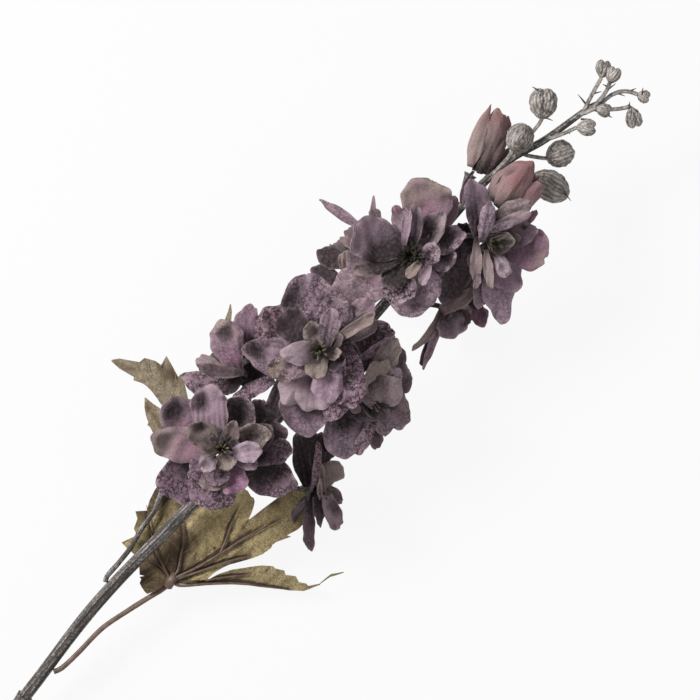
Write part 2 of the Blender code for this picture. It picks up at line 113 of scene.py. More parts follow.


# Petals. A row is: where it is, width, bow (how far the middle sinks below the line from foot
# to tip), cup (edge angle, radians), roll (degrees about its own length), paint (dark, light,
# pink, beige, mottle), and anything out of the ordinary. The dark is the plum airbrushed print
# and painted shade too: a petal with a dark share near 1 is a sheet of painted shade in the
# shadowed gaps and hollows. Where it is: its tip's bearing from the stem's direction, reach and
# rise, seen from the bloom's front, with its foot at the middle; or its foot's and its tip's
# offsets (x, y, z) from the hub. A spot is what is painted, across (-1 to 1), along (0 to 1),
# radius, strength, and how deep it is pressed, if it is; a dark spot is airbrushed print in
# places and painted shade in others, on a shadowed side, under an overlapping petal and in a
# pressed hollow. Foot is how far out from its foot a petal is darkened with painted shade.
OUTER = {
    "bloom_1": [
        # painted shade: a near-black sheet in the shadowed gap beside this bloom
        ((335, 22, -3), 15, 2, .3, 0, (.9, 0, .1, 0, .2), {}),
        (((-3, 1.5, -1), (-4, 29.5, 2)), 18.5, 3, .25, 0, (.2, .15, .2, .15, .2),
         dict(claw=.4, point=.44, spots=[(DARK, -.13, .8, 5.5, .9, 2.2), (DARK, .7, .6, 4, .4),
                                         (PINK, -.5, .5, 6, .5)])),
        (((1.5, 1, 0), (21, 6, 3)), 16.3, 3, .4, 0, (.35, .1, .1, .1, .8),
         dict(claw=.5, point=.44, spots=[(DARK, 0, .66, 6, .8, 1.5)])),
        (((16.5, -4.5, -3), (25.5, 1, -2)), 9.7, 1, .4, 0, (.9, 0, .1, .1, .1), dict(claw=.6, ruffle=(2, 7))),
        (((18, -6, -4), (21, -18.5, -4)), 8.5, 1, .3, 0, (.8, .05, .1, 0, .2), dict(claw=.6, foot=4)),
        (((-6.5, -.5, -3), (-33.5, 3, -3)), 21, 2, .2, 0, (.3, 0, .2, 0, 1),
         dict(claw=.5, point=.46, spots=[(DARK, .5, .35, 9, .8)])),
        (((-3, 0, 0), (-20, 21.5, 4)), 16, 3, .3, 0, (.05, .45, .15, .4, .1),
         dict(claw=.4, point=.44, spots=[(DARK, .1, .78, 3.6, .6, 1.8), (PINK, -.2, .38, 8, .9),
                                         (BEIGE, 0, .9, 6, .4)])),
        (((-3, 3, 2), (12.5, 21.5, 7)), 16.3, 1.5, .35, 0, (.1, .35, .2, .1, .1),
         dict(claw=.7, peak=.7, point=.42, ribs=.3,
              spots=[(DARK, -.37, .72, 4, .95, 2), (LIGHT, .3, .85, 5, .3)])),
        (((-6, -1.5, -2), (-25, -14.5, -1)), 24, 1.5, -.25, 0, (.1, .25, .2, .05, 1),
         dict(claw=.5, point=.45, spots=[(DARK, .1, .5, 8, .35)])),
        (((-1.5, -5, -4), (8, -35.5, -4)), 17.5, 2, .2, -8, (.3, .1, .25, .1, .8),
         dict(claw=.5, point=.45, spots=[(DARK, -.45, .5, 10, .9, 1), (DARK, 0, .2, 8, .6)])),
        (((0, -4, -2), (19, -24, -1)), 13.6, 2, .4, 8, (.35, .2, .3, .15, .8),
         dict(ruffle=(2, 6), spots=[(DARK, 0, .45, 6, .8, 1)])),
    ],
    "bloom_2": [
        ((290, 20, -3), 14, 2, .3, 0, (.7, 0, .1, .1, .5), {}),
        (((0, 0, 0), (18.5, 26.5, 5)), 24, 2.5, .25, 0, (.1, .3, .15, .05, .75),
         dict(claw=.5, point=.44, spots=[(DARK, -.75, .72, 6.5, .95, 1.5), (DARK, .5, .62, 3, .5, .8)])),
        (((4, 0, 1), (21, 10.5, 5)), 16.3, 2, .3, 0, (.15, .3, .15, .1, .8), dict(claw=.5, point=.44)),
        (((-3.5, 7.5, -3), (-6.5, 28.5, -2)), 14, 2, .3, 0, (.3, .1, .5, .3, .9),
         dict(claw=.5, ruffle=(1.2, 5))),
        # painted shade: a near-black sheet low in the shadowed gap towards bloom_1
        (((-20, 3, -18), (-41, -7, -18)), 7.5, 1, .3, 0, (1, 0, 0, 0, 0), dict(claw=.7)),
        (((-5, 4, 2), (-23, 22, 3)), 17, 3, .35, 0, (.1, .35, .15, .1, .55),
         dict(claw=.5, sweep=-3, spots=[(DARK, .35, .78, 5, .85, 2.4)])),
        (((-8.5, -7, -6), (-33, -19, -14)), 22, 2, .3, 0, (.2, .15, .15, 0, .5),
         dict(claw=.5, sweep=3, foot=16, spots=[(DARK, -.35, .55, 6, .6, 1.5)])),
        (((-4.5, -2, -2), (-27.5, -3.5, -4)), 14.5, 1, -.3, 0, (0, .7, .1, .35, .1),
         dict(claw=.5, spots=[(PINK, -.5, .4, 6, .5)])),
        (((-3.5, -2.5, -1), (-20.5, -17, -3)), 17.6, 1.5, .25, 0, (0, .7, .1, .25, .1),
         dict(claw=.5, point=.4, ruffle=(1.2, 4), spots=[(PINK, -.2, .4, 7, .8)])),
        (((8, -3, 0), (-9.5, -25.5, 2)), 16.7, 2, .25, 10, (.1, .3, .35, .05, .95),
         dict(sweep=-2.2, claw=.5, spots=[(DARK, 0, .62, 3, .6, 1)])),
        (((-1.5, -17, -2), (-18.5, -23, -2)), 12, 1.5, .25, 0, (.1, .35, .4, .1, .9), dict(claw=.5)),
        (((6, -1, 3), (26, -7.5, 6)), 11, 3, .4, 0, (.7, 0, 0, .4, .1), {}),
        (((10, .5, 1), (30, -3, 3)), 13, 1, .4, 0, (.1, .4, .3, .25, .35), dict(claw=.6, foot=5)),
        (((2.5, -3.5, -2), (9.5, -15.5, -2)), 12.3, 3, .4, 0, (.75, 0, 0, .3, .1), {}),
    ],
    "bloom_3": [
        (((13.5, -1.5, 0), (34, 2.5, 1)), 8, 3, .5, 0, (.4, 0, .5, .2, .1), {}),
        (((5.5, 6.5, 4), (12.5, 18.5, 6)), 7, 2, .3, 0, (0, .7, .2, .3, .1),
         dict(claw=.5, foot=3, spots=[(PINK, .3, .85, 3, .9), (DARK, .3, .85, 2, .4)])),
        (((-7, -1, -3), (-34, 11.5, -6)), 20, 2, .2, 0, (.05, .45, .2, .35, .5),
         dict(claw=.5, ruffle=(1.2, 5), spots=[(DARK, .15, .42, 4, .5, 1.2), (DARK, -.25, .6, 3, .4, 1),
                                               (PINK, 0, .3, 6, .5)])),
        (((-.5, -4.5, -1), (-16, -19.5, -1)), 20, 2, .2, 0, (.05, .4, .15, .05, .6),
         dict(claw=.5, ruffle=(1, 6), foot=10)),
        (((0, -5, -1), (-1.5, -21.5, -1)), 12, 1, .3, 0, (.1, .35, .15, .05, .6), dict(claw=.6, foot=4)),
        (((9, -3, 3), (25, -10, 5)), 12.5, 3, .5, 0, (.1, .4, .15, .1, .7),
         dict(claw=.5, ruffle=(1.8, 6), foot=9, spots=[(DARK, -.5, .5, 5, .9, 1.5)])),
        (((8.5, -4.5, 3), (12.5, -17, 4)), 11.5, 3, .5, 0, (.1, .35, .15, .1, .7),
         dict(claw=.5, ruffle=(1.5, 6), foot=6, spots=[(DARK, -.5, .5, 4, .9, 1.5)])),
        (((4.5, 0, 4), (30.5, 15.5, 12)), 22, 4, .35, 0, (.05, .3, .5, .3, .15),
         dict(claw=.3, peak=.74, point=.42, lip=1.5, ruffle=(.8, 5), foot=12,
              spots=[(PINK, -.1, .5, 8, .6), (BEIGE, -.7, .7, 6, .7),
                     (DARK, .85, .75, 4, .4, 1.2),
                     (BEIGE, .4, .95, 6, .7)])),
        (((4, 3.5, 4), (-9.5, 22.5, 12)), 20, 3, .3, 0, (.2, .3, .15, .05, .2),
         dict(claw=.5, peak=.62, point=.42, foot=10, spots=[(DARK, -.75, .5, 8, .9)])),
        (((3, -5, -3), (6.5, -16, -4)), 9, 1, .3, 0, (.7, 0, .2, .1, .3), {}),
        (((-9, 9, -6), (-18, 18, -8)), 9, 1, .3, 0, (.5, .1, .2, .1, .4), {}),
    ],
    "bloom_4": [
        # painted shade: these two near-black sheets fill the shadowed gap towards bloom_3
        (((-2.5, 11.5, -8), (-33, -5.5, -16)), 17.6, 2, .2, 0, (1, 0, 0, 0, 0), dict(claw=.6)),
        (((-2.5, 10, -10), (-20.5, 11.5, -16)), 13, 2, .2, 0, (1, 0, 0, 0, 0), dict(claw=.6)),
        *unseen((0, 0, -2), 18, OUTER_UNSEEN, ((10, -8, -18), None), ((-12, -8, -18), None)),
        (((-5.5, -2, -6), (-24.5, -17, -10)), 9, 1, .3, 0, (.4, .2, .2, .2, .3), dict(claw=.5)),
        (((-5, -8.5, -6), (-23, -29, -12)), 15.5, 2, .3, 0, (.05, .45, .2, 0, .45),
         dict(claw=.6, point=.75, peak=.42, foot=9)),
        (((1.5, -5.5, -4), (12.5, -22, -3)), 18.5, 2, .3, 0, (.1, .25, .75, .15, .2),
         dict(claw=.5, dent=(.25, 2), spots=[(BEIGE, .4, .9, 6, .6), (DARK, -.5, .5, 6, .5)])),
        (((.5, -3, -1), (16, -9.5, 0)), 13.2, 1.5, .4, 0, (.55, .05, .35, .05, .1), dict(claw=.5)),
        (((-.5, -3.5, -3), (-9, -22.5, -4)), 16, 2.5, .5, 0, (.25, .3, .35, 0, .2), dict(claw=.5, foot=8)),
        (((12, -6, 1), (22.5, -4.5, 0)), 3.5, .5, .4, 0, (.4, 0, .8, 0, .1), dict(point=.8)),
        (((-5.5, 3, 4), (9.5, 24.5, 16)), 12.8, 1, .4, 0, (.35, .2, .15, 0, .35),
         dict(sweep=1.5, foot=9, spots=[(LIGHT, .4, .8, 4, .3), (DARK, -.8, .5, 5, .5)])),
        (((-5.5, 2.5, 6), (8, 12, 16)), 7.5, -1, -.4, 0, (0, .5, .15, 0, .6), dict(foot=3)),
        (((14.5, 27, 2), (0, 19.5, 2)), 2.6, .3, .4, 0, (.6, .1, .5, .1, .1),
         dict(sweep=1.5, face=(0, 0, 1))),
    ],
    "bloom_5": [
        *unseen((0, 0, -4), 20, OUTER_UNSEEN, ((8, -14, -20), None), ((-12, -12, -20), None)),
        # painted shade: these two dark petals give this bloom its shadowed darkness
        (((9.5, 3, -7), (24.5, 4.5, -8)), 16, 1, .3, 0, (.9, 0, .1, .2, .1), dict(claw=.5)),
        (((4.5, -.5, -6), (18.5, -7.5, -7)), 19.4, 1, .3, 0, (.85, 0, .1, .3, .1), dict(claw=.5)),
        (((-9.5, -11, -8), (-15.5, -20.5, -10)), 7, 1, .3, 0, (.7, 0, .4, .2, .1), dict(claw=.5)),
        (((9, -6.5, -2), (5, -17.5, -3)), 6.5, 1, .3, 0, (0, .55, .15, .5, .1), dict(claw=.5)),
        (((2.5, -7.5, -3), (-.5, -22, -4)), 13, 1.5, .4, 0, (.2, .3, .2, .1, .4), dict(claw=.5)),
        (((-3, -9.5, -4), (-8, -19, -6)), 10, 1, .3, 0, (.05, .45, .15, .3, .5), dict(claw=.5, foot=3)),
        (((-7.5, -10, -4), (-23.5, -16, -5)), 7.2, -.5, -.3, 0, (.15, .3, .35, .15, .9),
         dict(claw=.6, foot=3)),
        (((-10, 2, 0), (-29, -12.5, -3)), 22, 1.5, -.3, 0, (.05, .45, .2, .05, .5),
         dict(ribs=.35, peak=.6, foot=8, spots=[(DARK, .1, .35, 6, .9, 1.5),
                                                (DARK, 0, .85, 5, .4, 1.5)])),
        (((-13, 1.5, 2), (-.5, -13.5, -1)), 11.5, 2, .6, 0, (.85, 0, .15, .15, .1), dict(claw=.5)),
        (((.5, 12, -4), (16, 11, -4)), 12, 1, .3, 0, (.5, .1, .2, .1, .5), dict(claw=.7)),
        (((10, 17.5, 1), (27, 12.5, 2)), 13, 2, .4, 0, (.1, .35, .25, .05, .9),
         dict(claw=.5, ruffle=(1.2, 5), foot=4, spots=[(DARK, -.5, .45, 6, .9, 1)])),
        (((7.5, 3.5, 1), (25, 6.5, 3)), 12.5, -1, -.4, 0, (0, .4, .05, .75, .2), dict(claw=.5, ribs=.2)),
        (((7.5, 13, 3), (24.5, 9, 4)), 5.3, -.5, .4, 0, (0, .5, .25, .1, .6), dict(claw=.5, foot=3)),
        (((4.5, -.5, 0), (15.5, -4.5, 2)), 10, -1, -.3, 0, (.1, .35, .15, .1, .8), dict(claw=.5)),
    ],
    "bloom_6": [
        *unseen((0, 0, -2), 18, OUTER_UNSEEN, ((-8, 8, -17), None), ((10, 6, -16), None)),
        (((4, -14, 0), (-1, -1.5, -2)), 12, 1, .3, 0, (1, 0, 0, 0, 0), dict(claw=.7)),
        (((6, 2.5, 1), (22.5, 15.5, -1)), 13, -1, -.3, 0, (.2, .1, .3, .1, .4), dict(claw=.5, dent=(.35, 1))),
        (((10.5, 1.5, 3), (32.5, 5.5, 2)), 13, -1, -.3, 0, (.15, .25, .25, .15, 1),
         dict(claw=.5, foot=3, spots=[(DARK, -.5, .85, 3.5, .5), (PINK, -.5, .85, 5, .8)])),
        (((-5.5, 1, 2), (-10, 15.5, 1)), 7.5, -.5, -.3, 0, (0, .45, .05, .5, .2), dict(claw=.5, foot=3)),
        (((-9.5, -4.5, 4), (-20, 13.5, 2)), 11.5, -1, -.3, 0, (.1, .25, .2, .2, 1), dict(claw=.5, foot=3)),
        (((-2.5, -4.5, 5), (-13, -4, 4)), 7, .5, .3, 0, (.75, .05, 0, .5, .1), dict(claw=.5)),
        (((7.5, -15.5, 6), (-11, -9, 5)), 7.6, -.5, -.3, 0, (.1, .3, .25, .1, .9), dict(claw=.6, foot=3)),
        (((-1.5, -2, 7), (8.5, 18.5, 9)), 16, -2, -.4, 0, (.05, .25, .2, .15, .4),
         dict(claw=.35, peak=.7, lip=1.2, foot=4,
              spots=[(DARK, .15, .74, 3.6, .85, 2), (BEIGE, 0, .95, 6, .6),
                     (PINK, 0, .25, 6, .5)])),
    ],
    "bloom_7": [
        *unseen((0, -1, -2), 18, OUTER_UNSEEN, ((12, -6, -23), (.3, -.9, 0)),
                ((-12, -10, -21), (-.3, -.9, 0)), ((0, -7, -29), (0, -1, 0))),
        # painted shade: these two near-black sheets fill the shadowed hollow beside this bloom
        (((0, -3.5, 1), (17, 22.5, 3)), 15.5, 1, .3, 0, (1, 0, 0, 0, 0), dict(face=(0, 0, 1), ribs=.4)),
        (((3.5, -2.5, 1), (21.5, 15.5, 3)), 9, 1, .3, 0, (1, 0, .1, 0, 0), dict(face=(0, 0, 1))),
        (((11.5, 7, 6), (19, 4.5, 5)), 4.8, .5, .3, 0, (.75, 0, .35, .1, .1), dict(claw=.7)),
        (((9, 4.5, 2), (17, -4.5, 3)), 10.2, -1, -.5, 0, (.1, .3, .05, .8, .1), dict(claw=.5, foot=3)),
        (((-2.5, -1.5, -3), (-19.5, -19.5, -9)), 6.8, .5, .3, 0, (.65, .05, .3, .2, .1),
         dict(peak=.7, claw=.5, spots=[(LIGHT, -.8, .75, 5, .6)])),
        (((2.5, -2, 1), (-8, -14.5, -4)), 5.7, .5, .4, 0, (.75, 0, .3, .2, .1), dict(claw=.6)),
        (((5, -4, 4), (-4, -20.5, -1)), 9.2, 1, .5, 0, (.1, .35, .1, .35, .2),
         dict(claw=.4, lip=-1, foot=3, spots=[(LIGHT, -.1, .6, 3, .6, -.6), (DARK, -.8, .5, 4, .8, .6)])),
    ],
    "bloom_8": [
        *unseen((0, 1, -2), 20, OUTER_UNSEEN, ((-14, 3, -24), (-.2, .9, 0)), ((11, 2, -24), (.2, .9, 0)),
                ((-1, 5, -29), (0, 1, 0))),
        (((-15.5, -7, 3), (-20.5, 5.5, 3)), 10, 1, -.3, 0, (.8, 0, .15, .3, .1), dict(claw=.5, foot=2)),
        (((-6, -5.5, 4), (-13, 10, 2)), 10.8, 1, -.3, 0, (.85, 0, .05, .4, .1),
         dict(claw=.6, point=.7, foot=2)),
        (((-1, -.5, 5), (-2, 6.5, 4)), 3.5, .3, .3, 0, (0, .5, .1, .8, 0), dict(claw=.6, foot=1)),
        (((-2.5, -1.5, 5), (1, 4.5, 5)), 3.5, .3, .3, 0, (.4, .1, .5, .3, 0), dict(claw=.6, foot=1)),
        (((13.5, -1.5, -2), (17.5, 6, -3)), 6, .5, -.3, 0, (.6, 0, .15, .5, .1), dict(claw=.7, foot=2)),
        (((13, 2, -3), (22.5, 10, -7)), 2.7, .5, .5, 0, (.4, .1, .3, .3, .1),
         dict(point=.9, peak=.4, claw=.6, foot=2)),
        (((7.5, 2.5, 9), (3.5, 23.5, 5)), 4.8, -1, .6, 0, (0, .45, .15, .1, .5),
         dict(ruffle=(1.6, 5), claw=.4, peak=.5, lip=.2, foot=3)),
    ],
    "bloom_9": [
        *unseen((0, -1, -2), 18, OUTER_UNSEEN, ((12, -8, -20), (.3, -.9, 0)), ((-8, -5, -20), (-.3, -.9, 0)),
                ((2, -8, -27), (0, -1, 0))),
        # painted shade: a near-black sheet in this bloom's shadowed hollow
        (((17.5, 2, 2), (12, -7.5, 0)), 9, 1, .3, 0, (1, 0, 0, 0, 0), dict(claw=.6)),
        (((12, -4.5, 3), (8, -14.5, 2)), 8.4, -1, -.4, 0, (.35, .1, .75, 0, .4),
         dict(claw=.5, ribs=.4, foot=2)),
        (((3, 1.5, 2), (-5.5, -9, 1)), 17, -1.5, -.5, 0, (.1, .5, .1, .15, .2),
         dict(claw=.6, foot=4, spots=[(DARK, .5, .45, 6, .6), (DARK, -.5, .6, 2.4, .35, 1)])),
        (((-2, 4, 6), (15.5, -1, 8)), 10.5, -1, -.4, 0, (.25, .1, .35, .7, .1),
         dict(claw=.5, foot=1, spots=[(PINK, 0, .2, 8, .9), (DARK, -.6, .3, 4, .4)])),
        (((20.5, 5, 8), (8, .5, 8)), 4, .5, .5, 0, (.35, .25, .25, .3, .2), dict(claw=.7, peak=.4, foot=2)),
        (((0, 4.5, 4), (-22.5, .5, 3)), 5.6, -1, -.5, 0, (.1, .3, .1, .75, .1),
         dict(sweep=-2.6, peak=.5, claw=.5, ribs=.35, foot=2,
              spots=[(DARK, 0, .25, 6, .45), (LIGHT, 0, .85, 5, .4)])),
        (((-3, 1, 2), (-24, -8.5, -2)), 5.2, .5, .5, 0, (.05, .4, .4, .1, .4),
         dict(claw=.3, peak=.45, foot=2)),
        (((-14, -1.5, 0), (-25, -7.5, -3)), 3.1, .5, .4, 0, (.85, 0, .3, 0, .1), dict(foot=2)),
    ],
}

INNER = {
    "bloom_1": [
        (((-5, -5.5, 2), (-8.5, -20, 3)), 13.2, 1.5, .25, 0, (0, .45, .75, 0, .35), dict(claw=.5, point=.42)),
        (((-10, -5.5, 2), (-17, -11, 3)), 12.3, 2, .5, 0, (.25, .2, 0, .6, .3), dict(foot=3)),
        (((-8, -.5, 4), (-16, 2.5, 5)), 6, 1.5, .3, 0, (.2, .3, .2, 0, .3), dict(foot=3)),
        (((-7.5, -3.5, 4), (-13.5, -11, 5)), 12.3, 2, .6, 0, (.25, .25, .15, .1, .9), dict(lip=1.2, foot=3)),
        (((1.5, -2.5, 4), (18.5, -10, 9)), 13.5, 3.5, .9, 0, (.1, .3, .1, .9, .6),
         dict(claw=.5, lip=1.5, spots=[(DARK, 0, .6, 5, .8, 2)])),
        (((-.5, -7, 4), (4, -17.5, 5)), 7, 1.5, .4, 0, (.1, .4, .15, .05, .5), dict(foot=3)),
        (((1, -6.5, 7), (11, -13.5, 10)), 9.7, -1, .3, 0, (0, .8, .15, .05, .1),
         dict(claw=.5, foot=3, spots=[(DARK, .2, .7, 2.6, .25, 1), (DARK, -.3, .5, 2, .2, .7)])),
        (((-3, -2, 3), (-2, 14, 9)), 12, 2, .5, 0, (.3, .25, 0, .75, .1),
         dict(spots=[(DARK, .3, .8, 3, .85, 1.2), (LIGHT, .1, .4, 4, .3),
                     (PINK, -.4, .95, 2, .8)])),
        (((-3, -3.5, 3), (11, 2.5, 9)), 7.5, 2, .6, 0, (.5, .05, 0, .7, .1),
         dict(spots=[(PINK, 0, .9, 2.5, .5)])),
        (((-5.5, -2, 7), (-13, -2, 9)), 7.8, -1, .4, 0, (0, .6, 0, .35, .1),
         dict(claw=.5, foot=3, spots=[(DARK, 0, .62, 2, .4, .9)])),
        (((-2, -3, 5), (-4, -10, 7)), 10, .5, .5, 0, (.05, .5, 0, .85, .1), dict(claw=.6, foot=3)),
        ((320, 9, 6), 8, 1, .6, 0, (.6, 0, 0, .5, .1), {}),
        ((60, 9, 6), 7, 1, .6, 0, (.6, 0, 0, .5, .1), {}),
    ],
    "bloom_2": [
        (((-1, 3.5, 4), (-1, 22.5, 8)), 15, 3, .5, 0, (.75, 0, .05, .05, .3), {}),
        (((-2, -2, 3), (-22, 8.5, 6)), 12.8, 2, .3, 0, (.05, .3, .3, .2, .7),
         dict(claw=.5, spots=[(BEIGE, .15, .88, 5.5, .95), (DARK, .2, .85, 2.5, .3, .8)])),
        (((-.5, -6.5, 3), (-13.5, -17.5, 5)), 13.6, 2, -.2, 0, (.05, .4, .15, 0, .3), dict(claw=.5, foot=4)),
        ((280, 12, 5), 9, 2, .5, 0, (.85, 0, .1, 0, .1), {}),
        (((7, -1.5, 5), (26.5, -6, 9)), 5.3, -1, .5, -20, (.05, .5, .15, .8, .1),
         dict(peak=.8, claw=.6, lip=.2)),
        (((3, -.5, 5), (16, 8, 11)), 9, 1.5, .4, 0, (.1, .45, .1, .1, .5), dict(ribs=.2, claw=.5)),
        (((0, -1, 4), (-12, 10.5, 9)), 10.6, -1.5, -.5, 0, (.1, .5, 0, .2, .1),
         dict(claw=.5, spots=[(DARK, 0, .2, 5, .5)])),
        (((.5, -.5, 4), (5, 10.5, 10)), 10, 2, .5, 0, (.05, .45, 0, .8, .1),
         dict(claw=.5, foot=4, spots=[(DARK, 0, .62, 2.6, .5, 1)])),
        (((-.5, -2.5, 4), (-10.5, -5.5, 8)), 9.7, 1.5, .4, 0, (.05, .5, 0, .9, .1),
         dict(claw=.6, foot=4, spots=[(PINK, 0, .95, 3, .7)])),
        ((300, 9, 7), 6, 2, .6, 0, (.1, .5, 0, .8, .1), {}),
        ((350, 11, 8), 8, 2, .6, 0, (.65, 0, .1, .3, .1), {}),
    ],
    "bloom_3": [
        # painted shade: these four near-black petals are the deep shadow in this bloom's cup
        (((-2, -1, 6), (-14.5, -3.5, 8)), 11, 2.5, .5, 0, (.95, 0, 0, .35, .1), dict(claw=.5)),
        ((175, 13, 6), 11, 3, .6, 0, (.95, 0, 0, .2, .1), {}),
        ((100, 13, 6), 12, 3, .6, 0, (1, 0, 0, 0, 0), {}),
        ((335, 13, 6), 10, 3, .6, 0, (1, 0, 0, 0, 0), {}),
        (((-1, 1, 5), (-19.5, 11.5, 9)), 9.7, 2.5, .8, -15, (.4, .1, 0, .7, .1),
         dict(lip=1, foot=9, spots=[(DARK, -.3, .45, 7, .9)])),
        (((-3, -3, 3), (-17.5, -9, 6)), 16.5, 2, .4, 0, (.05, .45, .1, .15, 1), dict(claw=.5, foot=6)),
        (((5.5, -2, 5), (23.5, 2, 13)), 11.5, 3, .8, 0, (.05, .5, .05, .4, .2),
         dict(claw=.5, lip=1.2, foot=8, spots=[(DARK, -.45, .5, 6, .95, 1.5)])),
        (((3.5, -4, 5), (12.5, -8, 9)), 9.7, 1.5, .5, 0, (.1, .4, .15, .15, .9), dict(claw=.5, foot=4)),
        (((5, 1, 6), (18, 12.5, 14)), 8.4, 1, .4, 0, (.6, .1, .05, 0, .1), dict(claw=.4, foot=5)),
        (((3, 4, 8), (15.5, 13.5, 15)), 4, .3, .4, 0, (.1, .55, .3, 0, .1), dict(claw=.5, lip=.2, foot=3)),
        (((3, -6, 9), (-6, -6.5, 11)), 4.5, -.5, .4, 0, (0, .6, 0, 1, .1), dict(claw=.6, lip=.2, foot=2)),
        (((5, -9, 7), (-3.5, -13, 9)), 5.3, -.5, .4, 0, (0, .7, .2, .1, .1), dict(claw=.5, lip=.3, foot=2)),
    ],
    "bloom_4": [
        (((-4.5, 2, 3), (4.5, -7, 5)), 10, 1, .4, 0, (.7, .1, 0, .7, .1), dict(claw=.6, foot=4)),
        (((5.5, 6.5, 3), (22, -1, 4)), 9, -1, -.4, 0, (.1, .3, .1, .6, .4), dict(claw=.6, ruffle=(.8, 6))),
        (((3.5, 4, 4), (18.5, -3.5, 6)), 5.7, -1, -.6, 0, (.05, .5, .1, .35, .2),
         dict(claw=.5, ruffle=(.8, 6))),
        (((-.5, 4.5, 5), (11.5, -1.5, 8)), 4, -1, -.6, 0, (0, .5, .15, .1, .5),
         dict(claw=.4, ruffle=(.8, 6))),
        (((-4, -5, 2), (-7.5, -16, 3)), 7, -1, -.4, 0, (0, .75, 0, .2, .1),
         dict(claw=.5, foot=3, spots=[(DARK, 0, .6, 2, .35, 1)])),
        (((-5, 6, 6), (-18, -6.5, 4)), 5.7, -.5, .5, 0, (0, .5, .25, .6, .05),
         dict(peak=.68, claw=.3, foot=3, spots=[(PINK, 0, .9, 4, .3)])),
        (((-6, -1, 6), (-16, -14, 3)), 4.4, .5, .5, 0, (.15, .35, .1, .7, .05), dict(twist=-30, foot=3)),
        (((-15.5, -6.5, 5), (-21, -9.5, 2)), 3.1, 0, .5, 0, (0, .6, .3, .3, .1), dict(foot=1)),
        (((0, 0, 3), (2, 9, 8)), 8, 2, .5, 0, (.75, 0, 0, .3, .1), {}),
        (((0, 0, 1), (8, -8, 0)), 8, 2, .5, 0, (.8, 0, 0, .3, .1), {}),
    ],
    "bloom_5": [
        (((0, -1, 2), (-6, -9, 4)), 9, 2, .5, 0, (.9, 0, 0, .2, .1), {}),
        (((0, -2, 0), (2, -14, -2)), 11, 2, .5, 0, (.9, 0, .1, .2, .1), {}),
        (((-10, 3.5, 4), (-9.5, -3, 5)), 4.4, .5, .4, 0, (.4, .1, 0, .8, .1), dict(foot=2)),
        (((-2, 3.5, 4), (-2, -8.5, 5)), 6.6, -1, -.4, 0, (.1, .45, .1, .15, .5), dict(claw=.5, foot=3)),
        (((-11, 1, 4), (14.5, 4.5, 7)), 10, -1, -.4, 0, (.1, .4, 0, .85, .1),
         dict(claw=.3, peak=.8, foot=3, lip=-.5)),
        (((4.5, 3, 6), (5.5, -12, 6)), 15, -1.5, -.5, 0, (.15, .35, .15, .45, .25),
         dict(claw=.5, foot=3, spots=[(DARK, -.3, .4, 4, .35)])),
    ],
    "bloom_6": [
        (((0, 1, 3), (9, 9, 6)), 10, 2, .4, 0, (.5, .1, .1, .2, .5), {}),
        (((.5, -4.5, 10), (-12, 12, 11)), 6, 1, .5, 0, (.7, .05, .3, .4, .1),
         dict(claw=.5, sweep=-.8, ruffle=(1.6, 6), foot=3, lip=.4)),
        (((0, 1, 0), (-6, 12, -4)), 10, 2, .5, 0, (.6, .1, .1, .4, .2), {}),
    ],
    "bloom_7": [
        (((3, -5, 6), (12.5, 6, 8)), 6.4, -.5, -.5, 0, (.45, .1, .1, .75, .1),
         dict(ribs=.5, claw=.6, foot=2)),
        (((1, -6, 7), (7, 1, 9)), 3.1, .3, .4, 0, (.1, .4, .2, .3, .3), dict(claw=.5, foot=2)),
        (((.5, -.5, 10), (19, 13.5, 12)), 3.6, .3, .4, 0, (.05, .45, .35, .1, .7),
         dict(sweep=1, twist=25, foot=2)),
        *unseen((2, -2, 2), 9, INNER_UNSEEN, ((6, -14, -6), (.2, -.9, 0))),
    ],
    "bloom_8": [
        (((-12.5, -7.5, 8), (-4.5, .5, 9)), 9, 1, -.3, 0, (.25, .25, 0, .8, .1),
         dict(ribs=.9, claw=.5, foot=2)),
        *unseen((0, 1, -1), 9, INNER_UNSEEN, ((5, 8, -10), (.1, .9, 0)), ((-6, 8, -8), (-.1, .9, 0))),
    ],
    "bloom_9": [
        *unseen((0, -1, 2), 9, INNER_UNSEEN, ((5, -9, 0), None)),
        *unseen((0, -1, -1), 9, INNER_UNSEEN, ((4, -9, -9), (.1, -.9, 0)), ((-5, -8, -9), (-.1, -.9, 0))),
    ],
}

# How much stronger a bloom's pale print is, its dark print being weaker by a third of that;
# how much wider its stamens spread; and what share of the yellow dust they keep, where not
# 0, 1 and 1
FADED = {"bloom_1": .05, "bloom_2": .12, "bloom_3": .3, "bloom_4": .45, "bloom_5": .75}
ADDED_VEINS = .06         # added to the mottle of every bloom's petals
WIDE_HEARTS = {"bloom_3": 1.8, "bloom_4": 1.2}
YELLOW_TIPS = {"bloom_3": .12, "bloom_5": .12, "bloom_4": .35}

# Half the thickness of the knot where a leaf's ribs meet its stalk
KNOT_RADIUS = 2.3

OPENING_STALKS = {
    "opening_bud_left": [(299, 11.5, 43.2), (301, 13.1, 44), (305, 15.6, 45), (309.5, 17, 46)],
    "opening_bud_front": [(296, 10, 44.5), (297, 9.8, 46.4), (300, 7.0, 50), (303, 3.4, 53.5)],
}

